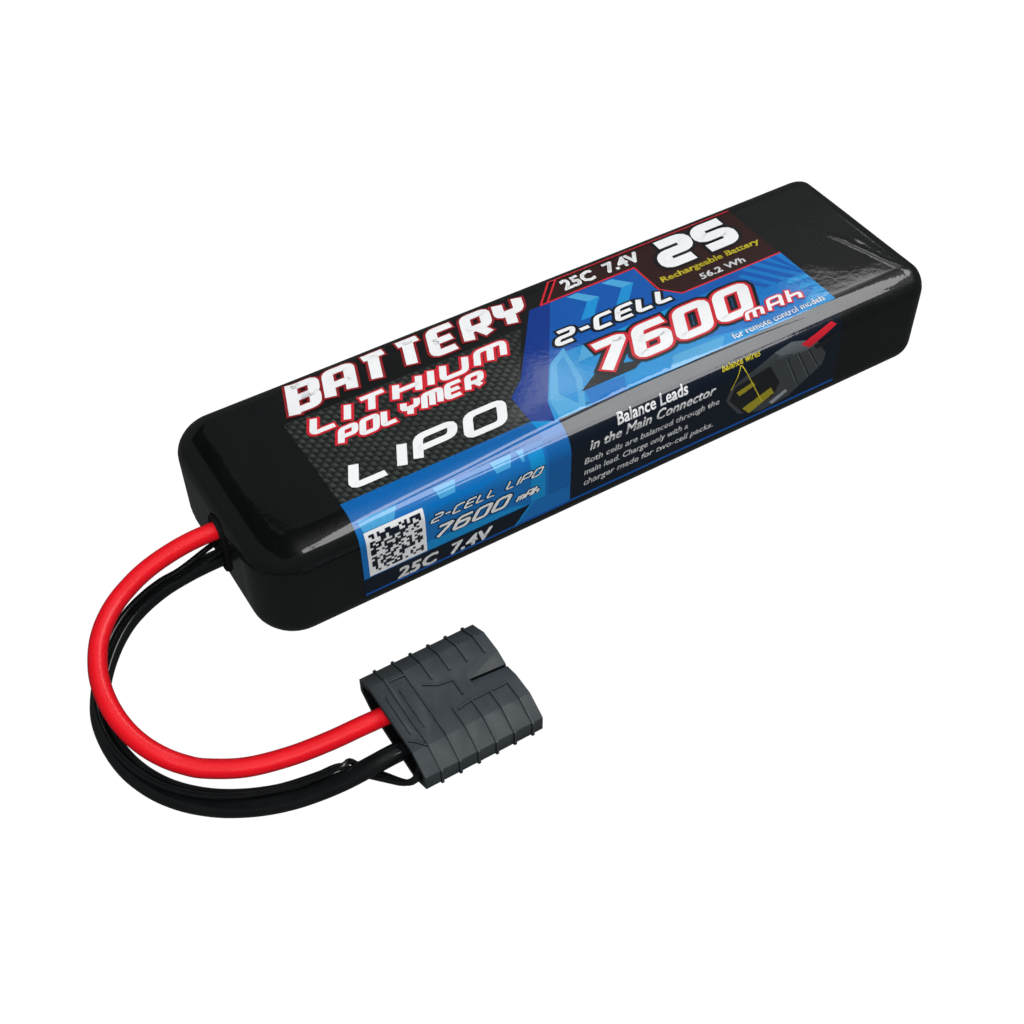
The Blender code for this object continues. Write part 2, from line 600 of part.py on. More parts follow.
def make_terminals():
    gold = new_material("plated contact", (0.83, 0.6, 0.25), 0.25, 1.0)
    start = LEAD_END_IN_PLUG + GAP
    end = start + BARREL_LENGTH
    half = BLADE[0] / 2
    top = BLADE_LIFT + BLADE[1]
    for pole, side in (("positive", 1), ("negative", -1)):
        y = PLUG_MIDDLE + side * POLE
        barrel = rod(f"{pole}_terminal", start, end, y, PLUG_AXIS, BARREL_RADIUS, BARREL_RADIUS, 18, gold)
        middle = PLUG_MIDDLE + side * BLADE_SIDE
        low = (end - 1.5 * MM, middle - half, BLADE_LIFT)
        combine(barrel, box(f"{pole}_blade", low, (BLADE_END, middle + half, top)), "UNION")
        neck_low = (end - 1.0 * MM, y - NECK_WIDTH / 2, BLADE_LIFT + EASE)
        neck_high = (end - 0.2 * MM, y + NECK_WIDTH / 2, PLUG_AXIS)
        combine(barrel, box(f"{pole}_neck", neck_low, neck_high), "UNION")
    wall_y = PLUG_MIDDLE - CONTACT_SIDE
    half = CONTACT_THICKNESS / 2
    for name, lift in zip(WIRE_ENDS, CONTACT_HEIGHTS):
        wire_y = WIRE_ENDS[name][-1][1] * MM
        foot, bend = start + CONTACT_FOOT, start + 2 * CONTACT_FOOT
        path = ((start, wire_y), (foot, wire_y), (bend, wall_y), (BLADE_END - CONTACT_SHORT, wall_y))
        outline = [(x, y - half) for x, y in path] + [(x, y + half) for x, y in path[::-1]]
        rings = [[(x, y, z) for x, y in outline] for z in (lift, lift + CONTACT_TALL)]
        loft(name.replace("wire", "contact"), rings, gold)


clear_scene()
make_film()
make_plates()
make_cells()
make_board()
make_grommet()
make_leads()
make_housing()
make_retainer()
make_terminals()
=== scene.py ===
"""Looks of a two-cell lithium polymer stick pack with its leads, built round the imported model.

Lengths are in millimetres until a mesh is made, and MM turns them into metres. On the film, x runs along
the pack and g across it: g is 0 where the flat top meets the front edge, grows down the front side and
falls below 0 over the top.
"""

import random
from math import copysign, cos, exp, hypot, pi, radians, sin

import bmesh
import bpy
from mathutils import Matrix, Vector, noise


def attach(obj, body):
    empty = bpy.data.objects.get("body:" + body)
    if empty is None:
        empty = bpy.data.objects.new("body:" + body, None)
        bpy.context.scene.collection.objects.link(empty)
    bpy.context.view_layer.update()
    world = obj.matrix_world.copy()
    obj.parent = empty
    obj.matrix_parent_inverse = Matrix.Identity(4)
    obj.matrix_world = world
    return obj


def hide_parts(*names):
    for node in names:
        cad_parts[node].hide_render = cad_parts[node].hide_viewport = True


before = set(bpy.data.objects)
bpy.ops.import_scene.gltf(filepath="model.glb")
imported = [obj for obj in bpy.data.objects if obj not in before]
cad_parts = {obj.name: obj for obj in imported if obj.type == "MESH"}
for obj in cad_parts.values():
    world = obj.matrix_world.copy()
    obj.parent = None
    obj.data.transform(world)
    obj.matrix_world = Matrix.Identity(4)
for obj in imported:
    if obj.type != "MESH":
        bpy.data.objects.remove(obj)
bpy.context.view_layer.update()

MM = 0.001
SEED = 7600

# ---------------------------------------------------------------- camera

CAMERA_PLACE = (-0.123013, -0.182372, 0.213849)  # metres
CAMERA_TURN = -31.037  # degrees about the upright axis
CAMERA_RISE = 47.480  # degrees above the floor
CAMERA_ROLL = -0.702  # degrees about the line of sight
CAMERA_LENS = 50.997
SENSOR_WIDTH = 36


def make_camera():
    """The camera, placed by its turn, rise and roll."""
    turn, rise, roll = radians(CAMERA_TURN), radians(CAMERA_RISE), radians(CAMERA_ROLL)
    back = Vector((sin(turn) * cos(rise), -cos(turn) * cos(rise), sin(rise)))
    level = Vector((cos(turn), sin(turn), 0))
    above = back.cross(level)
    right = cos(roll) * level + sin(roll) * above
    up = -sin(roll) * level + cos(roll) * above
    data = bpy.data.cameras.new("camera")
    data.lens = CAMERA_LENS
    data.sensor_width = SENSOR_WIDTH
    data.clip_start = 0.01
    data.clip_end = 50
    camera = bpy.data.objects.new("camera", data)
    camera.matrix_world = Matrix(
        [(right[i], up[i], back[i], CAMERA_PLACE[i]) for i in range(3)] + [(0, 0, 0, 1)]
    )
    bpy.context.scene.collection.objects.link(camera)
    bpy.context.scene.camera = camera


# ---------------------------------------------------------------- materials

# The stretch of a noise pattern's values that a range is spread over.
NOISE_LOW = 0.25
NOISE_HIGH = 0.75
FILM_ROUGHNESS = 0.28
# One tow of the printed cloth: its width, its length and how far each row leans, in rows.
TOW_WIDTH = 1.3
TOW_LENGTH = 2.6
TOW_LEAN = 0.55


class Nodes:
    """A node material being written: short ways to add nodes and join them."""

    def __init__(self, name):
        self.material = bpy.data.materials.new(name)
        self.material.use_nodes = True
        self.tree = self.material.node_tree
        self.shader = self.tree.nodes["Principled BSDF"]
        self.place = self.tree.nodes.new("ShaderNodeTexCoord").outputs["Object"]

    def add(self, kind, inputs=None, **settings):
        """A new node with its inputs filled by name and its settings made."""
        node = self.tree.nodes.new(kind)
        for key, value in settings.items():
            setattr(node, key, value)
        for key, value in (inputs or {}).items():
            self.put(node.inputs[key], value)
        return node

    def put(self, socket, value):
        """Links an output into the socket, or sets a plain value on it."""
        if isinstance(value, bpy.types.NodeSocket):
            self.tree.links.new(value, socket)
        else:
            socket.default_value = value

    def set(self, **values):
        """Fills the surface shader's inputs."""
        for key, value in values.items():
            self.put(self.shader.inputs[key.replace("_", " ")], value)

    def stretched(self, scale):
        return self.add("ShaderNodeMapping", {"Vector": self.place, "Scale": scale}).outputs[0]

    def noise(self, scale, detail=3.0, roughness=0.5, stretch=None):
        place = self.stretched(stretch) if stretch else self.place
        return self.add(
            "ShaderNodeTexNoise",
            {"Vector": place, "Scale": scale, "Detail": detail, "Roughness": roughness},
        ).outputs["Fac"]

    def range(self, value, low, high):
        """A noise value carried over to the range from low to high."""
        ends = {"From Min": NOISE_LOW, "From Max": NOISE_HIGH, "To Min": low, "To Max": high}
        return self.add("ShaderNodeMapRange", {"Value": value, **ends}).outputs[0]

    def mix(self, share, first, second):
        """The first colour turning into the second as the share grows."""
        node = self.add("ShaderNodeMix", data_type="RGBA")
        self.put(node.inputs[0], share)
        self.put(node.inputs[6], (*first, 1))
        self.put(node.inputs[7], (*second, 1))
        return node.outputs[2]

    def math(self, operation, first, second=0.0, clamp=False):
        node = self.add("ShaderNodeMath", operation=operation, use_clamp=clamp)
        self.put(node.inputs[0], first)
        self.put(node.inputs[1], second)
        return node.outputs[0]

    def bump(self, height, distance, strength, below=None):
        """A normal raised by the height, on top of another one if given."""
        node = self.add("ShaderNodeBump", {"Height": height, "Distance": distance, "Strength": strength})
        if below is not None:
            self.put(node.inputs["Normal"], below)
        return node.outputs[0]


def varied(nodes, colour, spread, scale):
    """The colour, a little lighter and darker from place to place."""
    darker = tuple(c * (1 - spread) for c in colour)
    lighter = tuple(min(c * (1 + spread) + 0.002 * spread, 1) for c in colour)
    return nodes.mix(nodes.range(nodes.noise(scale), 0.0, 1.0), darker, lighter)


def film_finish(nodes):
    """The clear gloss that lies over the film and its print alike."""
    ripple = nodes.bump(nodes.noise(70.0, 1.0), 0.00025, 0.22)
    peel = nodes.bump(nodes.noise(900.0, 2.0), 0.00002, 0.35, ripple)
    nodes.set(
        Roughness=nodes.range(nodes.noise(140.0), FILM_ROUGHNESS - 0.05, FILM_ROUGHNESS + 0.07),
        Normal=peel,
        Coat_Normal=peel,
        Coat_Weight=1.0,
        Coat_Roughness=0.035,
        Coat_IOR=1.85,
        IOR=1.48,
    )


def film_material(name, colour, spread=0.06):
    """The film's own black, or one ink on it."""
    nodes = Nodes(name)
    nodes.set(Base_Color=varied(nodes, colour, spread, 60.0))
    film_finish(nodes)
    return nodes.material


def carbon_material():
    """Printed carbon cloth: slanted tows in rows, each lit along one side."""
    nodes = Nodes("printed carbon cloth")
    rows = nodes.stretched((1000 / TOW_WIDTH, 1000 / TOW_LENGTH, 1.0))
    parts = nodes.add("ShaderNodeSeparateXYZ", {"Vector": rows})
    u, v = parts.outputs[0], parts.outputs[1]
    lean = nodes.math("ADD", u, nodes.math("MULTIPLY", v, TOW_LEAN))
    row = nodes.math("FLOOR", lean)
    along = nodes.math("ADD", nodes.math("MULTIPLY", v, 1.5), nodes.math("MULTIPLY", row, 0.5))
    tow = nodes.math("FRACT", along)
    across = nodes.math("FRACT", lean)
    lit = nodes.math("MULTIPLY", nodes.math("SINE", nodes.math("MULTIPLY", tow, pi)), across)
    shade = nodes.math("MULTIPLY", lit, nodes.range(nodes.noise(55.0), 0.35, 1.0))
    share = nodes.math("MULTIPLY", shade, 1.5, True)
    nodes.set(Base_Color=nodes.mix(share, (0.003, 0.004, 0.004), (0.055, 0.065, 0.058)))
    film_finish(nodes)
    return nodes.material


def silicone_material(name, colour, spread, coat=0.35):
    """Extruded silicone: satin, with faint draw lines and specks of dust."""
    nodes = Nodes(name)
    grain = nodes.bump(nodes.noise(1500.0, 3.0), 0.00004, 0.5)
    wave = nodes.bump(nodes.noise(160.0, 2.0), 0.00025, 0.35, grain)
    nodes.set(
        Base_Color=varied(nodes, colour, spread, 220.0),
        Roughness=nodes.range(nodes.noise(420.0), 0.3, 0.46),
        Normal=wave,
        Coat_Weight=coat,
        Coat_Roughness=0.16 - 0.1 * coat,
        Coat_IOR=1.4 + 0.4 * coat,
    )
    return nodes.material


def moulded_material(name, colour, low, high):
    """Moulded plastic or rubber with a fine eroded grain, its roughness from low to high."""
    nodes = Nodes(name)
    fine = nodes.bump(nodes.noise(2400.0, 4.0, 0.6), 0.00005, 0.6)
    broad = nodes.bump(nodes.noise(130.0, 2.0), 0.0002, 0.25, fine)
    nodes.set(
        Base_Color=varied(nodes, colour, 0.12, 260.0),
        Roughness=nodes.range(nodes.noise(300.0), low, high),
        Normal=broad,
    )
    return nodes.material


def metal_material(name, colour, low, high, stretch, grain=0.00003):
    """Bare or plated metal with rolled or drawn lines along one axis."""
    nodes = Nodes(name)
    lines = nodes.noise(400.0, 4.0, 0.6, stretch)
    nodes.set(
        Base_Color=nodes.mix(nodes.range(lines, 0.0, 1.0), tuple(c * 0.8 for c in colour), colour),
        Metallic=1.0,
        Roughness=nodes.range(nodes.noise(250.0), low, high),
        Normal=nodes.bump(lines, grain, 0.7),
    )
    return nodes.material


def fibre_material(name, colour, second, scale, roughness, depth):
    """Sheet stuff with visible fibres or cells: laminate, paper, foam and tape."""
    nodes = Nodes(name)
    cells = nodes.add("ShaderNodeTexVoronoi", {"Vector": nodes.place, "Scale": scale}).outputs["Distance"]
    cloud = nodes.noise(scale / 3, 4.0, 0.6)
    nodes.set(
        Base_Color=nodes.mix(nodes.range(cloud, 0.0, 1.0), colour, second),
        Roughness=nodes.range(cloud, roughness - 0.08, roughness + 0.05),
        Normal=nodes.bump(cells, depth, 0.6),
    )
    return nodes.material


# ---------------------------------------------------------------- objects


def link(obj):
    """Puts the object into the scene."""
    bpy.context.scene.collection.objects.link(obj)
    return obj


def mesh_object(name, form, materials, smooth=None):
    """A smooth-shaded object from the form, sharp at edges over the angle smooth in degrees."""
    mesh = bpy.data.meshes.new(name)
    form.to_mesh(mesh)
    form.free()
    for material in materials:
        mesh.materials.append(material)
    mesh.shade_smooth()
    if smooth:
        mesh.set_sharp_from_angle(angle=radians(smooth))
    return link(bpy.data.objects.new(name, mesh))


def settle(obj):
    """Applies the object's modifiers to its mesh."""
    bpy.context.view_layer.update()
    ready = obj.evaluated_get(bpy.context.evaluated_depsgraph_get())
    mesh = bpy.data.meshes.new_from_object(ready)
    obj.modifiers.clear()
    old = obj.data
    obj.data = mesh
    bpy.data.meshes.remove(old)


def cut_away(obj, name, rings):
    """Cuts the solid through the rings out of the object."""
    helper = mesh_object(name, loft_form(rings), obj.data.materials)
    modifier = obj.modifiers.new("cut", "BOOLEAN")
    modifier.operation = "DIFFERENCE"
    modifier.object = helper
    modifier.solver = "EXACT"
    settle(obj)
    mesh = helper.data
    bpy.data.objects.remove(helper)
    bpy.data.meshes.remove(mesh)


def stitch(form, rings, capped=True):
    """Joins neighbouring rings of vertices with faces and, if capped, closes the first and the last."""
    for low, high in zip(rings, rings[1:]):
        for i in range(len(low)):
            j = (i + 1) % len(low)
            form.faces.new((low[i], low[j], high[j], high[i]))
    if capped:
        form.faces.new(rings[0][::-1])
        form.faces.new(rings[-1])


def loft_form(rings):
    """A closed solid through rings of points in millimetres, the end rings capped."""
    form = bmesh.new()
    stitch(form, [[form.verts.new([c * MM for c in point]) for point in ring] for ring in rings])
    bmesh.ops.recalc_face_normals(form, faces=form.faces)
    return form


def direction(start, end):
    """The unit vector from one flat point to another."""
    dx, dy = end[0] - start[0], end[1] - start[1]
    length = hypot(dx, dy)
    return dx / length, dy / length


# ---------------------------------------------------------------- leads

# Radii, and how finely the routes are followed.
LEAD_RADIUS = 1.75
WIRE_RADIUS = 0.55
RIDE = LEAD_RADIUS + WIRE_RADIUS + 0.3  # from the negative lead's middle to a balance wire's
SPLINE_STEPS = 12
LEAD_SPACING = 0.8
RIDE_SPACING = 4
# The middles of the two main leads, from the board to the contacts.
POSITIVE_ROUTE = (
    (-73.7, -2, 16), (-77.5, -2, 16), (-83.1, -2.1, 16), (-88, -2.4, 15.4), (-92.2, -3, 14.6),
    (-95.8, -4.1, 13.8), (-99.4, -5.7, 12.8), (-102.5, -8, 11.8), (-104.9, -10.8, 10.9),
    (-106.6, -14.1, 10.1), (-107.7, -17.6, 9.3), (-108.1, -21.3, 8.2), (-107.9, -24.9, 7.2),
    (-107.1, -28.3, 6.1), (-105.7, -31.5, 5), (-103.7, -34.4, 3.9), (-101.3, -36.8, 2.9),
    (-98.5, -39, 2.3), (-92.5, -42.2, 1.95), (-85.1, -44.3, 2.1), (-78.1, -45.7, 3), (-72.8, -46.4, 3.8),
    (-68.4, -46.7, 4), (-61.3, -46.7, 4),
)
NEGATIVE_ROUTE = (
    (-73.7, -1.9, 8.5), (-77.5, -1.9, 8.5), (-81.7, -1.9, 8.4), (-85.5, -1.9, 8), (-89.8, -2.1, 7.3),
    (-94, -2.8, 6.3), (-97.9, -4.1, 5.2), (-101.2, -6.1, 4.1), (-104, -8.6, 3.1), (-106.4, -11.6, 2.4),
    (-108.4, -15.2, 2), (-109.8, -19, 1.9), (-110.4, -23, 1.9), (-110.4, -27.4, 1.9),
    (-109.7, -32, 1.9), (-108.3, -36.1, 1.9), (-106.5, -39.6, 1.9), (-104.2, -42.7, 1.9),
    (-101.6, -45.3, 1.9), (-98.8, -47.5, 1.9), (-95.4, -49.5, 1.9), (-91.8, -51.1, 1.9), (-87.7, -52.4, 2),
    (-83.2, -53.4, 2.4), (-79, -54.2, 3.2), (-75.1, -54.5, 3.8), (-71.5, -54.5, 4),
    (-68.4, -54.5, 4), (-61.3, -54.5, 4),
)
# How far each balance wire is turned round the negative lead, in degrees, at the start, middle and end of
# the stretch on which it rides, and the x at which that stretch starts and ends.
WIRE_ANGLES = {"balance_wire_a": (48, 12, 58), "balance_wire_b": (12, -24, 28)}
RIDE_FROM = -82
RIDE_UNTIL = -87
# The balance wires before and after that stretch.
WIRE_STARTS = {
    "balance_wire_a": ((-73.7, -3.3, 11.9), (-78.2, -3.3, 11.8)),
    "balance_wire_b": ((-73.7, -0.9, 11.9), (-78.2, -1, 11.8)),
}
WIRE_ENDS = {
    "balance_wire_a": (
        (-83, -51.2, 3.8), (-80.8, -51.45, 4), (-79.3, -51.6, 3.9), (-78.3, -51.65, 3.1),
        (-77.6, -51.8, 2.1), (-76.9, -52.5, 1.4), (-75.7, -53.8, 1.25), (-74.2, -55.5, 1.35),
        (-72.6, -57.5, 1.75), (-71.4, -59.2, 2.35), (-70.4, -60.3, 3.2), (-69.4, -60.65, 4),
        (-68.2, -60, 4.65), (-66.8, -58.5, 5.1), (-65.3, -57.7, 5.2), (-61.3, -57.7, 5.2),
    ),
    "balance_wire_b": (
        (-83, -52.3, 4.7), (-80.4, -52.7, 5.3), (-78.7, -52.9, 5.4), (-77.8, -52.3, 4.9),
        (-77.1, -51.9, 4), (-76.5, -51.9, 3), (-75.8, -52.1, 1.9), (-74.9, -52.8, 1),
        (-73.8, -53.95, 0.7), (-72.5, -55.6, 0.7), (-71.3, -57.6, 0.95), (-70.5, -58.95, 1.4),
        (-69.9, -59.8, 2), (-69.1, -60.2, 2.7), (-68.2, -59.95, 3.1), (-66.8, -59.3, 3.25),
        (-65.3, -59.1, 3.25), (-61.3, -59.1, 3.25),
    ),
}


def spline_points(points, spacing):
    """Points at even steps along a smooth curve through the given points."""
    points = [Vector(p) for p in points]
    knots = [points[0] * 2 - points[1], *points, points[-1] * 2 - points[-2]]
    fine = []
    for before, start, end, after in zip(knots, knots[1:], knots[2:], knots[3:]):
        for i in range(SPLINE_STEPS):
            t = i / SPLINE_STEPS
            bend = 2 * before - 5 * start + 4 * end - after
            turn = 3 * (start - end) + after - before
            fine.append(start + 0.5 * (t * (end - before) + t * t * bend + t * t * t * turn))
    fine.append(points[-1])
    travelled = [0.0]
    for a, b in zip(fine, fine[1:]):
        travelled.append(travelled[-1] + (b - a).length)
    count = max(2, round(travelled[-1] / spacing))
    evenly = []
    at = 0
    for i in range(count + 1):
        wanted = travelled[-1] * i / count
        while at < len(fine) - 2 and travelled[at + 1] < wanted:
            at += 1
        share = (wanted - travelled[at]) / (travelled[at + 1] - travelled[at])
        evenly.append(fine[at].lerp(fine[at + 1], share))
    return evenly


def riding_points(name):
    """A balance wire's points along the negative lead, turned slowly round the lead's axis."""
    lead = spline_points(NEGATIVE_ROUTE, RIDE_SPACING)
    start = next(i for i, p in enumerate(lead) if p.x < RIDE_FROM)
    turn = min(range(len(lead)), key=lambda i: lead[i].x)
    end = max(i for i, p in enumerate(lead) if p.x < RIDE_UNTIL and i > turn)
    first, middle, last = WIRE_ANGLES[name]
    points = []
    for i in range(start, end + 1):
        along = (lead[i + 1] - lead[i - 1]).normalized()
        inside = Vector((-along.y, along.x, 0)).normalized()
        share = (i - start) / (end - start)
        angle = radians(first * (1 - share) ** 2 + middle * 2 * share * (1 - share) + last * share**2)
        above = along.cross(inside)
        points.append(lead[i] + RIDE * (sin(angle) * inside + cos(angle) * above))
    return points


def make_lead(name, knots, radius, material):
    """A round lead along a smooth curve through the knots, in place of the node of that name."""
    curve = bpy.data.curves.new(name, "CURVE")
    curve.dimensions = "3D"
    curve.bevel_depth = radius * MM
    curve.bevel_resolution = 7
    curve.use_fill_caps = True
    curve.materials.append(material)
    points = spline_points(knots, LEAD_SPACING)
    spline = curve.splines.new("POLY")
    spline.points.add(len(points) - 1)
    for knot, point in zip(spline.points, points):
        knot.co = (*(point * MM), 1)
    spline.use_smooth = True
    obj = link(bpy.data.objects.new(name + "_sleeve", curve))
    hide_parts(name)
    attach(obj, "root")
    return obj


def make_leads():
    """The two main leads and the two balance wires, each a cord that ends in the connector."""
    red = silicone_material("red silicone", (0.74, 0.006, 0.014), 0.05)
    black = silicone_material("black silicone", (0.0035, 0.004, 0.0045), 0.2, 1.0)
    positive = make_lead("positive_lead", POSITIVE_ROUTE, LEAD_RADIUS, red)
    positive.visible_glossy = False
    negative = make_lead("negative_lead", NEGATIVE_ROUTE, LEAD_RADIUS, black)
    for name, start in WIRE_STARTS.items():
        wire = make_lead(name, [*start, *riding_points(name), *WIRE_ENDS[name]], WIRE_RADIUS, black)


# ---------------------------------------------------------------- film

HALF_LENGTH = 77.5
HALF_WIDTH = 22.25
HEIGHT = 24.0
# Radii of the level edges and of the upright ones.
TOP_EDGE = 5.6
REAR_TOP_EDGE = 3.6
BOTTOM_EDGE = 5.5
LEAD_CORNER = 8.5
REAR_CORNER = 5.2
SMALLEST_CORNER = 0.7
FILM = 0.5  # thickness
FLAT = HALF_WIDTH - TOP_EDGE  # half of the flat top's width
ARC = TOP_EDGE * pi / 2  # g at the foot of the top bend
SIDE_END = ARC + HEIGHT - TOP_EDGE - BOTTOM_EDGE  # g at the foot of the upright wall

# Grooves pressed along the front top edge: knots in (x, g), depth and half width.
CREASES = (
    (((-66, 3.9), (-40, 2.75), (-15, 1.35), (5, 0.75), (30, 1.2), (55, 2.4), (76, 3.7)), 0.10, 0.19),
    (((-52, 3.7), (-20, 2.7), (10, 2.15), (45, 2.8), (76, 3.95)), 0.08, 0.17),
    (((-30, 3.55), (0, 3.2), (40, 3.4), (76, 4.1)), 0.05, 0.15),
    (((-22, 1.7), (0, 0.25), (22, 0.2), (50, 1.5), (70, 3.0)), 0.06, 0.16),
    (((-69, 5.1), (-60, 4.75), (-40, 4.5), (0, 4.35), (40, 4.4), (76, 4.6)), 0.025, 0.25),
    (((-70, 4.3), (-64, 4.35), (-56, 4.05)), 0.03, 0.2),
)
# Ridges of gathered film near the rear end: knots in (x, g), height and half width.
FOLDS = (
    (((66.5, -17.5), (68.6, -12), (70.6, -5), (72.4, 0.5), (73.6, 3)), 0.09, 0.28),
    (((70.5, -15), (71.6, -8), (73.0, -1), (74.0, 3)), 0.06, 0.22),
    (((73.6, -33), (73.9, -20), (74.2, -8), (74.6, 1)), 0.05, 0.3),
    (((-72.8, -30), (-73.2, -16), (-72.6, -3), (-69.5, 2.4)), 0.05, 0.4),
)
# How many steps the film's mesh has: along the pack, across it and round each upright edge,
LONG_STEPS = 230
SHORT_STEPS = 52
TURN_STEPS = 12
# and from the middle of the underside up: underside, bottom bend, wall, top bend and top.
UNDER_STEPS = 11
BEND_STEPS = 12
WALL_STEPS = 16
TOP_BEND_STEPS = 48
TOP_STEPS = 22
INWARD = 15.6  # how far in from its bend the last ring on a flat face lies
UNDER_RUN = 14.8
# The film's slow waves and its fine ripples, in millimetres.
WAVE = 0.06
RIPPLE = 0.010
LINE_REACH = 4  # how many of its half widths a groove or ridge is followed for
LINE_FADE = 6  # it fades in and out over this part of its length
# Puckers on the end faces: depth, the |x| that they start from and how many there are.
PUCKER = 0.14
PUCKER_FROM = 74.5
PUCKERS = 9
SLOT_RADIUS = 3.35


def near_line(x, g, knots):
    """How far (x, g) is from the line, and how far along it from 0 to 1, by the line's longer direction."""
    along = 0 if abs(knots[-1][0] - knots[0][0]) > abs(knots[-1][1] - knots[0][1]) else 1
    here, other = (x, g) if along == 0 else (g, x)
    if not knots[0][along] <= here <= knots[-1][along]:
        return None
    for a, b in zip(knots, knots[1:]):
        if here <= b[along]:
            share = (here - a[along]) / (b[along] - a[along])
            share = share * share * (3 - 2 * share) * 0.4 + share * 0.6
            gap = other - (a[1 - along] + (b[1 - along] - a[1 - along]) * share)
            total = (here - knots[0][along]) / (knots[-1][along] - knots[0][along])
            return gap, total
    return None


def film_offset(x, y, z, g):
    """How far the film stands out from the plain form here, in millimetres."""
    height = WAVE * noise.noise(Vector((x / 30, y / 17, z / 13 + 4)))
    height += RIPPLE * noise.noise(Vector((x / 9, y / 8, z / 8)))
    for lines, sign in ((CREASES, -1), (FOLDS, 1)):
        for knots, size, width in lines:
            found = near_line(x, g, knots)
            if found and abs(found[0]) < LINE_REACH * width:
                fade = min(1, LINE_FADE * found[1], LINE_FADE * (1 - found[1]))
                height += sign * size * fade * exp(-((found[0] / width) ** 2) / 2)
    return height


def film_place(x, g):
    """The plain form's point at (x, g) on its straight stretch, and the direction that faces out."""
    if g < -2 * FLAT:
        angle = (-2 * FLAT - g) / TOP_EDGE
        y, z = FLAT + TOP_EDGE * sin(angle), HEIGHT - TOP_EDGE + TOP_EDGE * cos(angle)
        out = (0, sin(angle), cos(angle))
    elif g < 0:
        y, z, out = -FLAT - g, HEIGHT, (0, 0, 1)
    elif g < ARC:
        angle = g / TOP_EDGE
        y, z = -FLAT - TOP_EDGE * sin(angle), HEIGHT - TOP_EDGE + TOP_EDGE * cos(angle)
        out = (0, -sin(angle), cos(angle))
    elif g < SIDE_END:
        y, z, out = -HALF_WIDTH, HEIGHT - TOP_EDGE - (g - ARC), (0, -1, 0)
    else:
        angle = (g - SIDE_END) / BOTTOM_EDGE
        y, z = -HALF_WIDTH + BOTTOM_EDGE * (1 - cos(angle)), BOTTOM_EDGE - BOTTOM_EDGE * sin(angle)
        out = (0, -cos(angle), -sin(angle))
    return Vector((x, y, z)), Vector(out)


def on_film(x, g, lift):
    """The point in metres that lies the lift above the uneven film at (x, g)."""
    place, out = film_place(x, g)
    return (place + out * (film_offset(place.x, place.y, place.z, g) + lift)) * MM


def film_outline(side, lead, rear):
    """The form's outline from above at one level, drawn in by side, lead and rear, anticlockwise."""
    half_width = HALF_WIDTH - side
    x_low, x_high = lead - HALF_LENGTH, HALF_LENGTH - rear
    lead_radius = max(LEAD_CORNER - side, SMALLEST_CORNER)
    rear_radius = max(REAR_CORNER - side, SMALLEST_CORNER)
    corners = (
        (x_high - rear_radius, half_width - rear_radius, rear_radius, 0),
        (x_low + lead_radius, half_width - lead_radius, lead_radius, 90),
        (x_low + lead_radius, lead_radius - half_width, lead_radius, 180),
        (x_high - rear_radius, rear_radius - half_width, rear_radius, 270),
    )
    arcs = []
    for x, y, radius, start in corners:
        turn = [radians(start + 90 * i / TURN_STEPS) for i in range(TURN_STEPS + 1)]
        arcs.append([(x + radius * cos(a), y + radius * sin(a)) for a in turn])
    points = []
    for i, bend in enumerate(arcs):
        points += bend
        start, end = bend[-1], arcs[(i + 1) % 4][0]
        steps = LONG_STEPS if i % 2 == 0 else SHORT_STEPS
        for share in [step / steps for step in range(1, steps)]:
            points.append((start[0] + (end[0] - start[0]) * share, start[1] + (end[1] - start[1]) * share))
    return points


def film_levels():
    """(g, z, inset of the sides, of the lead end, of the rear end) from the middle of the underside up."""
    levels = []
    for i in range(UNDER_STEPS + 1):
        inward = INWARD - UNDER_RUN * i / UNDER_STEPS
        levels.append((SIDE_END + BOTTOM_EDGE * pi / 2 + inward, 0.0, *(3 * [BOTTOM_EDGE + inward])))
    for i in range(BEND_STEPS + 1):
        angle = pi / 2 * (1 - i / BEND_STEPS)
        inset = BOTTOM_EDGE * (1 - cos(angle))
        levels.append((SIDE_END + BOTTOM_EDGE * angle, BOTTOM_EDGE * (1 - sin(angle)), inset, inset, inset))
    rise = HEIGHT - TOP_EDGE - BOTTOM_EDGE
    for i in range(1, WALL_STEPS):
        risen = rise * i / WALL_STEPS
        levels.append((SIDE_END - risen, BOTTOM_EDGE + risen, 0.0, 0.0, 0.0))
    for i in range(TOP_BEND_STEPS + 1):
        angle = pi / 2 * (1 - i / TOP_BEND_STEPS)
        share = 1 - sin(angle)
        inset = TOP_EDGE * share
        z = HEIGHT - TOP_EDGE * (1 - cos(angle))
        levels.append((TOP_EDGE * angle, z, inset, inset, REAR_TOP_EDGE * share))
    for i in range(1, TOP_STEPS + 1):
        inward = INWARD * i / TOP_STEPS
        levels.append((-inward, HEIGHT, TOP_EDGE + inward, TOP_EDGE + inward, REAR_TOP_EDGE + inward))
    return levels


def close_middle(form, ring):
    """Fills the narrow hole inside the ring with a strip of faces across it and one face at each end."""
    back_start = TURN_STEPS
    back_end = back_start + LONG_STEPS
    front_start = back_end + 2 * TURN_STEPS + SHORT_STEPS
    front_end = front_start + LONG_STEPS
    back = ring[back_start : back_end + 1]
    front = ring[front_start : front_end + 1][::-1]
    for i in range(LONG_STEPS):
        form.faces.new((back[i], back[i + 1], front[i + 1], front[i]))
    form.faces.new(ring[back_end : front_start + 1])
    form.faces.new(ring[front_end:] + ring[: back_start + 1])


def gather(x, y, z):
    """Puckers of the shrunk film on the two end faces, running in towards their middle."""
    reach = abs(x) - PUCKER_FROM
    if reach < 0:
        return 0.0
    across, level = y / 22, (z - 12) / 12
    spread = hypot(across, level)
    share = min(1.0, reach / 2.5) * min(1.0, spread)
    angle = PUCKERS * (across if abs(across) > abs(level) else level)
    return PUCKER * share * noise.noise(Vector((angle, spread * 0.7, x / 50)))


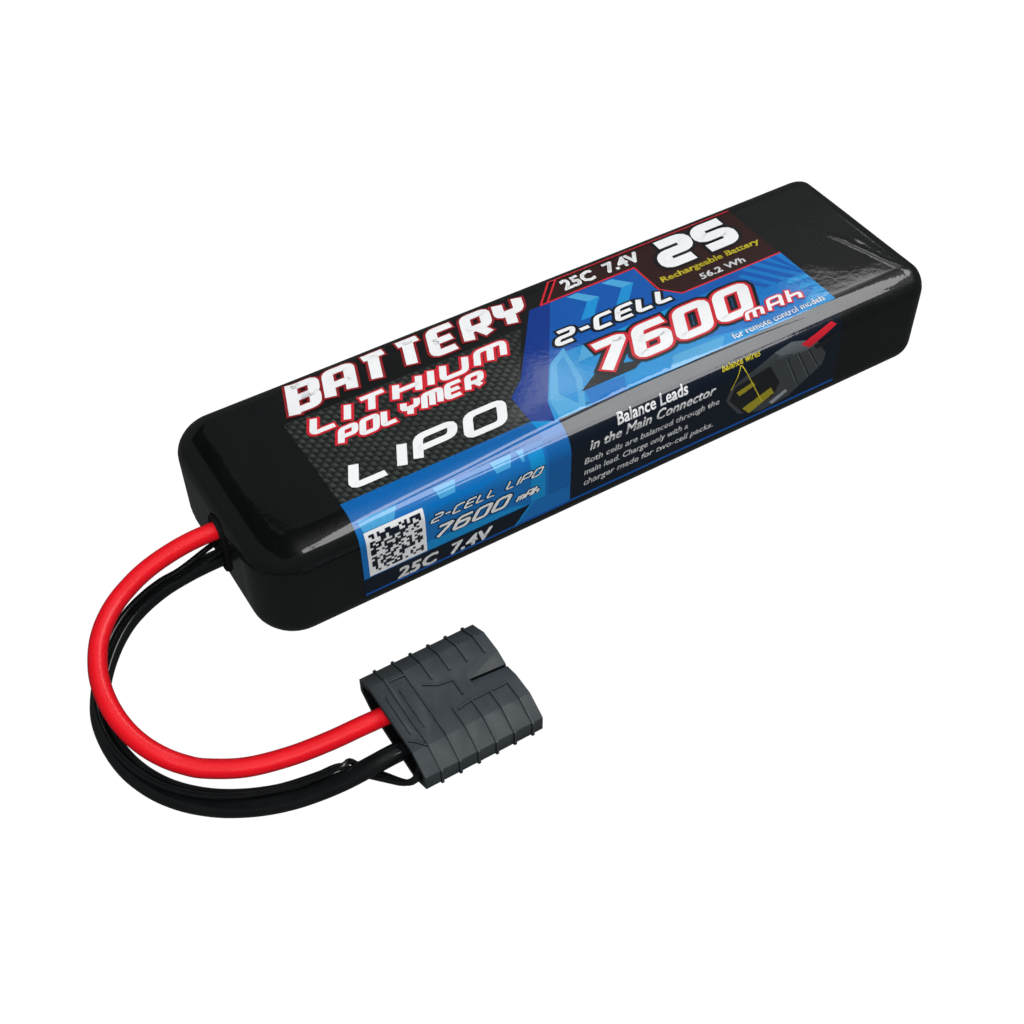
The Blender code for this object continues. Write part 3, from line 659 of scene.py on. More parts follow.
def make_film():
    """The film as a shell: its uneven outside, a plain inside and the slot for the leads."""
    form = bmesh.new()
    rings = []
    crossings = []
    for g, z, side, lead, rear in film_levels():
        ring = film_outline(side, lead, rear)
        rings.append([form.verts.new((x, y, z)) for x, y in ring])
        crossings += [-FLAT - y if z == HEIGHT else g if y < 0 else -2 * FLAT - g for x, y in ring]
    stitch(form, rings, False)
    close_middle(form, rings[0])
    close_middle(form, rings[-1])
    bmesh.ops.recalc_face_normals(form, faces=form.faces)
    form.normal_update()
    for vertex, g in zip(form.verts, crossings):
        x, y, z = vertex.co
        away = film_offset(x, y, z, g) + gather(x, y, z)
        if z < BOTTOM_EDGE:
            away *= z / BOTTOM_EDGE
        vertex.co = (vertex.co + vertex.normal * away) * MM
    film = mesh_object("wrap_film", form, [film_material("wrap film", (0.0032, 0.0036, 0.0038), 0.2)])
    cut_away(film, "film_inside", plain_rings(FILM))
    cut_away(film, "film_slot", slot_rings(-HALF_LENGTH - 3, -HALF_LENGTH + 2.5))
    film.data.shade_smooth()
    film.data.set_sharp_from_angle(angle=radians(40))
    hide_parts("wrap_sleeve")
    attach(film, "root")


def plain_rings(inset):
    """The form's rings without any unevenness, drawn in by inset all round."""
    rings = []
    angles = [radians(15 * i) for i in range(7)]
    bottoms = (BOTTOM_EDGE, BOTTOM_EDGE, BOTTOM_EDGE)
    tops = (TOP_EDGE, TOP_EDGE, REAR_TOP_EDGE)
    levels = [(inset + (BOTTOM_EDGE - inset) * (1 - sin(a)), 1 - cos(a), bottoms) for a in angles[::-1]]
    levels += [(HEIGHT - inset - (TOP_EDGE - inset) * (1 - sin(a)), 1 - cos(a), tops) for a in angles]
    for z, share, edges in levels:
        side, lead, rear = [inset + (edge - inset) * share for edge in edges]
        rings.append([(x, y, z) for x, y in film_outline(side, lead, rear)[::4]])
    return rings


def slot_rings(x_low, x_high):
    """Two rings of the slot in the end face, rounded over the upper lead and under the lower one."""
    outline = []
    for sign, (_, y, z) in ((1, POSITIVE_ROUTE[0]), (-1, NEGATIVE_ROUTE[0])):
        turn = [pi * i / 16 for i in range(17)]
        outline += [(y + sign * SLOT_RADIUS * cos(a), z + sign * SLOT_RADIUS * sin(a)) for a in turn]
    return [[(x, y, z) for y, z in outline] for x in (x_low, x_high)]


# ---------------------------------------------------------------- print on the film

LAYER = 0.03  # from one printed layer to the next
# How far apart the print is cut to follow the film: along x, over stretches of g, and on the flat.
X_CUT = 2
G_CUTS = ((-0.4, 4.8, 0.16), (-0.8, ARC, 0.4), (-2 * FLAT - 2.5, -2 * FLAT + 0.1, 0.4))
FLAT_CUT = 1.6
CUT_SLACK = 1e-5
FRONT_BELOW = 0.0185  # metres: under this height the film faces forwards
EASE_STEPS = 4


class Print:
    """One printed piece: flat shapes in (x, g) on numbered layers, laid onto the film at the end."""

    def __init__(self, name, inks):
        self.name = name
        self.inks = inks
        self.form = bmesh.new()
        self.used = []

    def face(self, verts, ink):
        """A face between the vertices, in the named ink."""
        if ink not in self.used:
            self.used.append(ink)
        self.form.faces.new(verts).material_index = self.used.index(ink)

    def shape(self, points, ink, layer):
        self.face([self.form.verts.new((x, g, layer * LAYER)) for x, g in points], ink)

    def shapes(self, rows):
        """A shape for each row of ink, layer and outline."""
        for ink, layer, points in rows:
            self.shape(points, ink, layer)

    def box(self, x_low, g_low, x_high, g_high, ink, layer):
        self.shape([(x_low, g_low), (x_high, g_low), (x_high, g_high), (x_low, g_high)], ink, layer)

    def line(self, knots, width, ink, layer):
        """A straight band between each two knots, carried on by half its width."""
        for start, end in zip(knots, knots[1:]):
            dx, dg = [part * width / 2 for part in direction(start, end)]
            x0, g0, x1, g1 = start[0] - dx, start[1] - dg, end[0] + dx, end[1] + dg
            corners = [(x0 - dg, g0 + dx), (x1 - dg, g1 + dx), (x1 + dg, g1 - dx), (x0 + dg, g0 - dx)]
            self.shape(corners, ink, layer)

    def words(self, text, place, ink, layer, weight, slant):
        """Small text fitted into the place (x_low, g_low, x_high, g_high) and thickened by the weight."""
        x_low, g_low, x_high, g_high = place
        mesh = text_mesh(text, slant)
        xs = [v.co.x for v in mesh.vertices]
        ys = [v.co.y for v in mesh.vertices]
        wide = (x_high - x_low - 2 * weight) / (max(xs) - min(xs))
        tall = (g_high - g_low - 2 * weight) / (max(ys) - min(ys))
        for dx, dg in ((weight, weight), (weight, -weight), (-weight, weight), (-weight, -weight)):
            left, foot = x_low + weight + dx, g_high - weight + dg
            verts = [
                self.form.verts.new((left + (x - min(xs)) * wide, foot - (y - min(ys)) * tall, layer * LAYER))
                for x, y in zip(xs, ys)
            ]
            for polygon in mesh.polygons:
                self.face([verts[i] for i in polygon.vertices], ink)
        bpy.data.meshes.remove(mesh)

    def letters(self, text, place, stroke, slant, gap, *coats):
        """Wide letters drawn with strokes; each coat is (grow, ink, layer), from the lettering outwards."""
        x_low, g_low, x_high, g_high = place
        half = stroke / 2
        tall = g_high - g_low - stroke
        units = sum(GLYPHS[c][0] for c in text) + gap * (len(text) - 1)
        unit = (x_high - x_low - stroke * PEN - slant * tall) / units
        at = x_low + half * PEN
        for letter in text:
            width, lines = GLYPHS[letter]
            for line in lines:
                knots = [(at + x * unit + slant * y * tall, g_high - half - y * tall) for x, y in line]
                closed = line[0] == line[-1]
                points = eased(knots, min(unit * 0.24, tall * 0.3), closed)
                for grow, ink, layer in coats:
                    self.strip(points, half + grow, grow, closed, ink, layer)
            at += (width + gap) * unit

    def strip(self, points, half, reach, closed, ink, layer):
        """A band of constant width along the points, its open ends carried on by reach."""
        pairs = []
        count = len(points)
        for i, (x, g) in enumerate(points):
            ways = []
            if closed or i:
                ways.append(direction(points[(i - 1) % count], (x, g)))
            if closed or i < count - 1:
                ways.append(direction((x, g), points[(i + 1) % count]))
            dx, dg = sum(w[0] for w in ways), sum(w[1] for w in ways)
            size = hypot(dx, dg) or 1
            dx, dg = dx / size, dg / size
            spread = half / max(dx * ways[0][0] + dg * ways[0][1], 0.45)
            if not closed and i in (0, count - 1):
                sign = -1 if i == 0 else 1
                x, g = x + sign * reach * dx, g + sign * reach * dg
            pairs.append([
                self.form.verts.new((x - dg * spread * PEN, g + dx * spread, layer * LAYER)),
                self.form.verts.new((x + dg * spread * PEN, g - dx * spread, layer * LAYER)),
            ])
        for i in range(count if closed else count - 1):
            (a, b), (c, d) = pairs[i], pairs[(i + 1) % count]
            self.face((a, c, d, b), ink)

    def lay(self):
        """Cuts the shapes finely, bends them onto the film and makes the piece."""
        form = self.form
        form.normal_update()
        bmesh.ops.triangulate(form, faces=[f for f in form.faces if len(f.verts) > 3])
        xs = [v.co.x for v in form.verts]
        gs = [v.co.y for v in form.verts]
        cuts = [((x, 0, 0), (1, 0, 0)) for x in range(int(min(xs)), int(max(xs)) + 1, X_CUT)]
        g = min(gs)
        while g < max(gs):
            g += next((step for low, high, step in G_CUTS if low < g < high), FLAT_CUT)
            cuts.append(((0, g, 0), (0, 1, 0)))
        for place, across in cuts:
            geometry = [*form.verts, *form.edges, *form.faces]
            bmesh.ops.bisect_plane(form, geom=geometry, dist=CUT_SLACK, plane_co=place, plane_no=across)
        bmesh.ops.triangulate(form, faces=[f for f in form.faces if len(f.verts) > 4])
        for vertex in form.verts:
            vertex.co = on_film(*vertex.co)
        form.normal_update()
        turned = [f for f in form.faces if f.normal.dot(facing(f.calc_center_median())) < 0]
        bmesh.ops.reverse_faces(form, faces=turned)
        loose = [v for v in form.verts if not v.link_faces]
        bmesh.ops.delete(form, geom=loose, context="VERTS")
        obj = mesh_object(self.name, form, [self.inks[ink] for ink in self.used])
        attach(obj, "root")


def facing(middle):
    """Roughly the way that the film faces at a point in metres."""
    if middle.z < FRONT_BELOW:
        return Vector((0, -1, 0))
    return Vector((0, copysign(0.6, middle.y), 0.4))


def text_mesh(text, slant):
    """A flat mesh of the text in the plain built-in font, leaned by slant."""
    curve = bpy.data.curves.new("text", "FONT")
    curve.body = text
    curve.shear = slant
    curve.resolution_u = 2
    curve.fill_mode = "FRONT"
    obj = link(bpy.data.objects.new("text", curve))
    bpy.context.view_layer.update()
    mesh = bpy.data.meshes.new_from_object(obj.evaluated_get(bpy.context.evaluated_depsgraph_get()))
    bpy.data.objects.remove(obj)
    bpy.data.curves.remove(curve)
    return mesh


# How much wider the upright strokes of the big letters are than the level ones.
PEN = 1.4
BOX = ((0, 0), (1, 0), (1, 1), (0, 1), (0, 0))
# Letters as strokes in a box one unit high: how wide each is, then its lines.
GLYPHS = {
    "0": (1, (BOX,)),
    "O": (1, (BOX,)),
    "2": (1, (((0, 1), (1, 1), (1, 0.5), (0, 0.5), (0, 0), (1, 0)),)),
    "6": (1, (((1, 1), (0, 1), (0, 0), (1, 0), (1, 0.56), (0, 0.56)),)),
    "7": (1, (((-0.05, 1), (1, 1), (0.3, 0)),)),
    "S": (1, (((1, 1), (0, 1), (0, 0.5), (1, 0.5), (1, 0), (0, 0)),)),
    "-": (0.7, (((0.05, 0.5), (0.65, 0.5)),)),
    " ": (0.6, ()),
    "A": (1, (((0, 0), (0, 1), (1, 1), (1, 0)), ((0, 0.42), (1, 0.42)))),
    "B": (1, (
        ((0.3, 0), (1, 0), (1, 0.5), (0.1, 0.5)), ((0.1, 0.5), (1, 0.5), (1, 1), (0.3, 1)),
        ((0, -0.14), (0, 1.14)), ((0, 0), (0.4, 0)), ((0, 1), (0.4, 1)),
    )),
    "C": (1, (((1, 1), (0, 1), (0, 0), (1, 0)),)),
    "E": (1, (((1, 1), (0, 1), (0, 0), (1, 0)), ((0, 0.5), (0.9, 0.5)))),
    "H": (1, (((0, 0), (0, 1)), ((1, 0), (1, 1)), ((0, 0.5), (1, 0.5)))),
    "I": (0, (((0, 0), (0, 1)),)),
    "L": (0.9, (((0, 1), (0, 0), (0.9, 0)),)),
    "M": (1.2, (((0, 0), (0, 1), (1.2, 1), (1.2, 0)), ((0.6, 1), (0.6, 0)))),
    "P": (1, (((0, 0), (0, 1), (1, 1), (1, 0.42), (0, 0.42)),)),
    "R": (1, (((0, 0), (0, 1), (1, 1), (1, 0.42), (0, 0.42)), ((0.5, 0.42), (1, 0)))),
    "T": (1, (((0, 1), (1, 1)), ((0.5, 1), (0.5, 0)))),
    "U": (1, (((0, 1), (0, 0), (1, 0), (1, 1)),)),
    "Y": (1, (((0, 1), (0, 0.5), (1, 0.5), (1, 1)), ((0.5, 0.5), (0.5, 0)))),
    "m": (1.2, (((0, 0), (0, 0.66), (1.2, 0.66), (1.2, 0)), ((0.6, 0.66), (0.6, 0)))),
    "h": (0.9, (((0, 0), (0, 1.1)), ((0, 0.5), (0.9, 0.5), (0.9, 0)))),
}


def eased(knots, radius, closed):
    """The knots with their corners rounded; a closed line loses its repeated last knot."""
    if closed:
        knots = knots[:-1]
    count = len(knots)
    points = []
    for i, (x, g) in enumerate(knots):
        if not closed and i in (0, count - 1):
            points.append((x, g))
            continue
        before, after = knots[(i - 1) % count], knots[(i + 1) % count]
        ends = []
        for ox, og in (before, after):
            length = hypot(ox - x, og - g)
            share = min(radius, length * 0.45) / length
            ends.append((x + (ox - x) * share, g + (og - g) * share))
        for step in range(EASE_STEPS + 1):
            t = step / EASE_STEPS
            points.append(tuple(
                ends[0][k] * (1 - t) ** 2 + (x, g)[k] * 2 * t * (1 - t) + ends[1][k] * t * t for k in (0, 1)
            ))
    return points


def make_inks():
    """The printed colours by name, each as a film material."""
    colours = {
        "white": (0.84, 0.85, 0.86), "grey": (0.3, 0.32, 0.34), "red": (0.6, 0.014, 0.028),
        "dark_red": (0.26, 0.01, 0.015), "ground": (0.0035, 0.004, 0.0042),
        "shadow": (0.003, 0.0045, 0.007), "maroon": (0.022, 0.005, 0.004), "navy": (0.002, 0.006, 0.015),
        "deep_blue": (0, 0.03, 0.23), "blue": (0, 0.085, 0.38), "strip_blue": (0.004, 0.115, 0.38),
        "mid_blue": (0, 0.16, 0.5), "bright_blue": (0.004, 0.255, 0.6), "cyan": (0.06, 0.345, 0.64),
        "side_blue": (0.006, 0.15, 0.46), "yellow": (0.62, 0.52, 0.03), "drawn_grey": (0.045, 0.053, 0.058),
        "drawn_light": (0.1, 0.115, 0.125), "drawn_dark": (0.008, 0.009, 0.01),
        "brass": (0.34, 0.29, 0.015),
    }
    inks = {}
    for name, colour in colours.items():
        inks[name] = film_material("print " + name.replace("_", " "), colour)
    inks["carbon"] = carbon_material()
    return inks


# The grounds on the flat top: ink, layer and outline, the blue field's shards after its plain ground.
FIELD_SHAPES = (
    ("carbon", 2, ((-58.2, -25), (-5.6, -25), (-13.5, -12.6), (-17.6, -9), (-17.6, -1.2), (-58.2, -1.2))),
    ("bright_blue", 2, (
        (-18.2, -1.2), (-18, -8.6), (-13.6, -12.2), (-1.2, -28.9), (24.6, -28.9), (24.6, -16.9),
        (54, -16.9), (54, 1), (-18.2, 1),
    )),
    ("deep_blue", 3, (
        (-18.2, -1.2), (-18, -8.6), (-13.6, -12.2), (-1.2, -28.9), (3.8, -28.9), (-6.8, -12.6),
        (-12.6, -4), (-14.2, 1),
    )),
    ("blue", 3, (
        (3.8, -28.9), (24.5, -28.9), (24.5, -16.8), (30, -16.8), (26, -14.4), (-3.2, -14.4), (-6.8, -12.6),
    )),
    ("mid_blue", 3, ((30, -16.9), (54, -16.9), (54, -5), (44, 1), (24, -3), (26, -14.4))),
    ("cyan", 4, ((-12.2, -4), (-6.2, -13), (-1.6, -15.6), (-3.4, -6), (-7.2, 1), (-13.2, 1))),
    ("bright_blue", 5, ((-9.6, -4.8), (-5.4, -12), (-3, -13.4), (-4.6, -6.4), (-7.8, -0.6))),
    ("mid_blue", 3, ((-4.6, -3.4), (4, -2.4), (2.2, 1), (-6, 1))),
    ("bright_blue", 4, ((4.4, -2.8), (16, -2.2), (12.4, 1), (2.8, 1))),
    ("cyan", 4, ((15, -2.2), (27.6, -1.6), (25, 1), (12.6, 1))),
    ("cyan", 4, ((2, -14.2), (9, -14.2), (4, -10.4), (-1.6, -10.4))),
    ("blue", 4, ((28, -16.6), (44, -16.6), (41, -14.6), (26, -14.2))),
)
FIELD_END = 53.9
# The dark red panel in two parts, and the blue corner that it leaves.
PANEL_SHAPES = (
    ("maroon", 3, ((8.6, -34.6), (25, -34.6), (25, -29.1), (3.2, -29.1))),
    ("maroon", 3, ((25, -34.6), (53.6, -34.6), (53.6, -17), (28.4, -17), (25, -20.4))),
    ("blue", 3, ((24.5, -21), (28.7, -16.8), (24.5, -16.8))),
)
# Thin red rules round the panel: width, layer and knots.
RED_RULES = (
    (0.35, 5, ((7, -34.6), (53.6, -34.6))),
    (0.42, 5, ((7, -34.6), (1.6, -29), (24.7, -29))),
    (0.4, 5, ((8.6, -34.4), (3.4, -29.2))),
    (0.38, 4, ((24.8, -29), (25, -20.4), (28.4, -16.9), (53.8, -16.9))),
)


def make_top_print(inks):
    """The panels on the flat top: cloth pattern and names, then blue field and figures."""
    ground = Print("label_top_grounds", inks)
    ground.box(-58.4, -35, 53.5, -1.2, "ground", 1)
    ground.shapes(FIELD_SHAPES)
    for i in range(5):
        x = 38.5 + 3.1 * i
        stripe = ((x, -16.6), (x + 1.5, -16.6), (x + 7.0, -9.2), (x + 5.5, -9.2))
        ground.shape([(min(px, FIELD_END), pg) for px, pg in stripe], "blue", 4)
    for i in range(3):
        left, g = 1.2 * i, 2.6 * i
        chevron = (
            (49.6 + left, -9 + g), (FIELD_END, -8.2 + g), (FIELD_END, -7 + g), (48.4 + left, -7.8 + g),
        )
        ground.shape(chevron, "bright_blue", 4)
    # The box with two arrow shapes.
    for x in (7.5, 16):
        ground.shape([(x, -28.4), (x + 2.6, -28.4), (x + 5.8, -25), (x + 2.8, -25)], "cyan", 4)
        ground.shape([(x + 2.8, -25), (x + 5.8, -25), (x + 1.6, -20.6), (x - 1.6, -20.6)], "bright_blue", 4)
    ground.shapes(PANEL_SHAPES)
    ground.lay()

    rules = Print("label_red_rules", inks)
    for width, layer, knots in RED_RULES:
        rules.line(knots, width, "red", layer)
    rules.lay()

    white = (0, "white", 7)
    text = Print("label_titles", inks)
    text.letters("BATTERY", (-56, -34.4, -0.4, -26.3), 1.7, 0.35, 0.66, white, (0.4, "dark_red", 5))
    text.letters("LITHIUM", (-55.2, -24, -10.2, -19.4), 1.05, 0.5, 0.54, white, (0.42, "red", 5))
    text.letters("POLYMER", (-51.8, -18.6, -18.6, -14.4), 0.95, 0.5, 0.56, white, (0.42, "red", 5))
    text.letters("LIPO", (-55.3, -9.5, -19.2, -3.1), 1.45, 0.5, 0.46, (0, "white", 6))
    text.words("25C", (8.4, -33.5, 16.5, -30.2), "white", 6, 0.16, 0.1)
    text.words("7.4V", (19.2, -33.5, 28, -30.2), "white", 6, 0.16, 0.1)
    text.letters("2S", (29.8, -33.7, 51.4, -24.6), 2.5, 0.2, 0.6, white, (0.6, "shadow", 5))
    text.words("Rechargeable Battery", (27, -23.4, 52.5, -21.2), "yellow", 6, 0.06, 0.12)
    text.words("56.2 Wh", (34.5, -20, 46, -18.2), "white", 6, 0.06, 0.12)
    text.letters("2-CELL", (-2.8, -20.3, 28, -16.2), 0.88, 0.6, 0.45, white, (0.5, "shadow", 5))
    text.shape([(-5.6, -3), (1, -6.8), (10, -4.4), (7, -3)], "shadow", 4)
    coats = ((0, "white", 8), (0.5, "red", 7), (1.1, "shadow", 5))
    text.letters("7600", (-1.2, -13.3, 41.4, -4.4), 1.95, 0.5, 0.6, *coats)
    text.letters("mAh", (34, -6, 49.9, -2.4), 0.62, 0.5, 0.6, (0, "white", 10), (0.3, "red", 9))
    text.words("for remote control models", (28.7, -1.3, 52, 0.4), "white", 6, 0.03, 0.15)
    text.lay()


# The block pattern: where it starts, its size, how many blocks and the share that are dark.
PATTERN_PLACE = (-56.5, 6.5)
PATTERN_SIZE = (10.6, 9.7)
PATTERN_COUNT = 19
PATTERN_SHARE = 0.52
# The connector as drawn on the side: ink, layer and outline, the body first.
DRAWN_SHAPES = (
    ("drawn_grey", 2, (
        (27.6, 8.9), (35.5, 6.3), (40, 5.6), (42.9, 6.4), (46.4, 7.9), (49.4, 12.4), (48.9, 15.3),
        (40.5, 20.2), (33.6, 20.8), (27.6, 18.8), (23.7, 13.4), (24.7, 10.4),
    )),
    ("drawn_light", 3, ((35.5, 6.3), (40, 5.6), (42.9, 6.4), (46.4, 7.9), (44, 9.2), (37.6, 8.2))),
    ("drawn_dark", 3, ((25.8, 10.6), (34.4, 9), (37.6, 14.8), (36.6, 18), (29.1, 19.4), (24.7, 13.7))),
    ("brass", 4, ((28.4, 17.6), (35.4, 15.2), (36.5, 17.2), (30.4, 19.9))),
    ("brass", 4, ((26.2, 12.2), (30.2, 11.2), (31, 12.4), (27.2, 13.6))),
    ("grey", 4, ((35.5, 19.3), (39.6, 17.7), (40.2, 18.5), (36.5, 20.3))),
    ("red", 4, ((42.2, 7), (50.4, 5), (51.6, 6), (44.4, 8.6))),
    ("drawn_dark", 4, ((45.6, 8.8), (51.4, 7.6), (51.8, 8.6), (46.6, 10))),
)
DRAWN_RIBS = (
    (38.4, 9, 42.8, 18.4), (41.4, 9.2, 45.4, 17), (44.2, 9.6, 47.6, 15.4), (36, 7.6, 44.4, 9.4),
)
SMALL_PRINT = (
    ("Both cells are balanced through the", 22, 11.5),
    ("main lead. Charge only with a", 14.5, 14.4),
    ("charger made for two-cell packs.", 21, 17.3),
)


def make_side_print(inks):
    """The panels that turn down over the front edge onto the front side."""
    ground = Print("label_side_grounds", inks)
    ground.box(-58.4, -1.2, -13.4, 21.2, "side_blue", 1)
    ground.box(-13.4, 1, 53, 21, "navy", 1)
    ground.box(-58.4, -1.2, -18.2, 3.2, "strip_blue", 2)
    ground.box(-18.4, 3.4, -13.4, 17, "strip_blue", 2)
    ground.box(-22.4, 4.6, -19.2, 16.8, "bright_blue", 2)
    for x_low, x_high, lean in ((-57.6, -49.5, 1.4), (-42, -37.4, 0.8), (-30, -25.4, 1), (-24.4, -22.8, 0.5)):
        ground.shape([(x_low, 3.4), (x_high, 3.4), (x_high - lean, 5.7), (x_low + 0.6, 5.7)], "cyan", 3)
    ground.shape([(-45, 14.6), (-27, 15.6), (-23, 17), (-45, 17)], "bright_blue", 3)
    ground.shape([(-44, 5.8), (-28, 5.8), (-33, 7.4), (-44, 7.2)], "mid_blue", 3)
    ground.shape([(-58.4, 17.2), (-22.4, 17.2), (-26, 21.2), (-58.4, 21.2)], "navy", 3)
    ground.line([(-22.2, 17.2), (-25.9, 21.2)], 0.5, "bright_blue", 3)
    ground.box(-58.4, 21.2, 53, 21.8, "blue", 1)
    ground.lay()

    block = Print("label_block_pattern", inks)
    block.box(-57.2, 5.8, -45.2, 16.9, "white", 4)
    chance = random.Random(SEED)
    x_low, g_low = PATTERN_PLACE
    x_step, g_step = [size / PATTERN_COUNT for size in PATTERN_SIZE]
    for i in range(PATTERN_COUNT):
        x = x_low + i * x_step
        start = None
        for j in range(PATTERN_COUNT + 1):
            dark = j < PATTERN_COUNT and chance.random() < PATTERN_SHARE
            if dark and start is None:
                start = j
            if not dark and start is not None:
                block.box(x, g_low + start * g_step, x + x_step, g_low + j * g_step, "navy", 5)
                start = None
    block.lay()

    white, navy = (0, "white", 6), (0.16, "navy", 5)
    text = Print("label_side_text", inks)
    text.letters("2-CELL LIPO", (-44.3, 8.2, -19.4, 10.2), 0.32, 0.6, 0.45, white, navy)
    text.letters("7600", (-44.2, 11.6, -26.4, 14.8), 0.62, 0.6, 0.5, white, (0.24, "navy", 5))
    text.letters("mAh", (-26, 12.9, -20, 14.8), 0.34, 0.6, 0.45, white, navy)
    text.words("25C  7.4V", (-51.8, 18.2, -31, 21.1), "white", 5, 0.13, 0.2)
    text.words("Balance Leads", (-2.6, 4.3, 14.2, 6.8), "white", 4, 0.06, 0.2)
    text.words("in the Main Connector", (-9.2, 7.3, 20.7, 9.8), "white", 4, 0.06, 0.2)
    for words, x_high, g in SMALL_PRINT:
        text.words(words, (-10.3, g, x_high, g + 2.1), "white", 4, 0.03, 0.12)
    text.words("balance wires", (22.7, 4.2, 32.2, 5.6), "yellow", 4, 0.03, 0.2)
    text.lay()

    drawing = Print("label_connector_drawing", inks)
    drawing.shapes(DRAWN_SHAPES)
    for x0, g0, x1, g1 in DRAWN_RIBS:
        drawing.line([(x0, g0), (x1, g1)], 0.22, "drawn_light", 4)
        drawing.line([(x0 + 0.4, g0), (x1 + 0.4, g1)], 0.18, "drawn_dark", 4)
    drawing.line([(27, 5.9), (24.7, 10.6)], 0.22, "yellow", 5)
    drawing.line([(27.3, 5.9), (33.4, 18)], 0.22, "yellow", 5)
    drawing.lay()


# ---------------------------------------------------------------- connector

PLUG_TOP = 8.0
WORN_EDGE = 0.12
# Raised lines: width, height and how far their foot is sunk into the top.
RIDGE = 0.34
RIDGE_HEIGHT = 0.36
RIDGE_FOOT = 0.15
# Raised lines on the connector's top, in (x, y).
RIDGE_LINES = (
    ((-60.2, -47.2), (-58.1, -48.6), (-55.2, -49.1), (-55.2, -52.6)),
    ((-57.5, -54.9), (-56.2, -54.6), (-54.5, -54.45)),
    ((-54.1, -54.5), (-50.9, -54.4)),
    ((-50.5, -54.55), (-47.3, -54.5)),
    ((-67.9, -56.0), (-66.9, -56.9), (-65.6, -58.5)),
    ((-61.8, -43.9), (-61.7, -58.3)),
    ((-65.5, -43.6), (-61.8, -43.7)),
)
# The connector's inner walls, which get painted shade: their stretch of x, then the middle in (y, z) of the
# eight-sided opening, its half width and half height, and where its cut corners start and which way they
# face.
HOLLOW_X = (-68.2, -45.4)
HOLLOW_MIDDLE = (-50.6, 4)
HOLLOW_HALF = (11.2, 3.3)
HOLLOW_CORNER = (7.8, 1.7)
HOLLOW_SLANT = (2.3, 4.15)
HOLLOW_REACH = 5.545
# Faces between the ends that face along x more than this are the grip ribs' flanks, which get painted shade.
STEEP = 0.55
RIB_X = (-68.3, -45.3)


def ridge(form, knots):
    """A low raised line with sloped sides on the connector's top."""
    half, crest, shoulder = RIDGE / 2, RIDGE / 4, RIDGE_HEIGHT * 0.8
    section = (
        (half, -RIDGE_FOOT), (half, shoulder), (crest, RIDGE_HEIGHT),
        (-crest, RIDGE_HEIGHT), (-half, shoulder), (-half, -RIDGE_FOOT),
    )
    rings = []
    for i, (x, y) in enumerate(knots):
        dx, dy = direction(knots[max(i - 1, 0)], knots[min(i + 1, len(knots) - 1)])
        ring = [((x - dy * s) * MM, (y + dx * s) * MM, (PLUG_TOP + h) * MM) for s, h in section]
        rings.append([form.verts.new(point) for point in ring])
    stitch(form, rings)


def in_hollow(place):
    """Whether a point of the connector, in millimetres, lies on its inner walls, which get painted shade."""
    if not HOLLOW_X[0] <= place.x <= HOLLOW_X[1]:
        return False
    across, level = abs(place.y - HOLLOW_MIDDLE[0]), abs(place.z - HOLLOW_MIDDLE[1])
    slant = (across - HOLLOW_CORNER[0]) * HOLLOW_SLANT[0] + (level - HOLLOW_CORNER[1]) * HOLLOW_SLANT[1]
    return across < HOLLOW_HALF[0] and level < HOLLOW_HALF[1] and slant < HOLLOW_REACH


def make_plug():
    """The connector's housing with worn edges, painted shade on its inner walls and rib flanks, and the
    raised lines on its top.
    """
    nylon = moulded_material("connector nylon", (0.040, 0.048, 0.053), 0.36, 0.5)
    # inside is a darker copy of the connector nylon: painted shade for the inner walls, rib flanks and
    # ridges' sides.
    inside = moulded_material("connector nylon painted shade", (0.003, 0.0034, 0.0038), 0.6, 0.75)
    form = bmesh.new()
    form.from_mesh(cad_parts["connector_housing"].data)
    bmesh.ops.remove_doubles(form, verts=form.verts, dist=1e-6)
    bmesh.ops.dissolve_limit(form, angle_limit=radians(1), verts=form.verts, edges=form.edges)
    shell = mesh_object("connector_shell", form, [nylon])
    modifier = shell.modifiers.new("worn edges", "BEVEL")
    modifier.width = WORN_EDGE * MM
    modifier.segments = 2
    modifier.limit_method = "ANGLE"
    modifier.angle_limit = radians(25)
    settle(shell)
    shell.data.shade_smooth()
    shell.data.set_sharp_from_angle(angle=radians(32))
    shell.data.materials.append(inside)
    # Painted shade: the inner walls and the grip ribs' flanks take the darker copy of the nylon.
    for polygon in shell.data.polygons:
        rib_flank_in_painted_shade = abs(polygon.normal.x) > STEEP and RIB_X[0] < polygon.center.x / MM < RIB_X[1]
        polygon.material_index = 1 if rib_flank_in_painted_shade or in_hollow(polygon.center / MM) else 0
    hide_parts("connector_housing")
    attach(shell, "root")
    lines = bmesh.new()
    for knots in RIDGE_LINES:
        ridge(lines, knots)
    bmesh.ops.recalc_face_normals(lines, faces=lines.faces)
    raised = mesh_object("connector_ridges", lines, [nylon, inside], 30)
    # Painted shade: the ridges' steep sides take the darker copy of the nylon.
    for polygon in raised.data.polygons:
        polygon.material_index = 1 if polygon.normal.z < 0.3 else 0
    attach(raised, "root")
    return shell


# ---------------------------------------------------------------- carried-over pieces


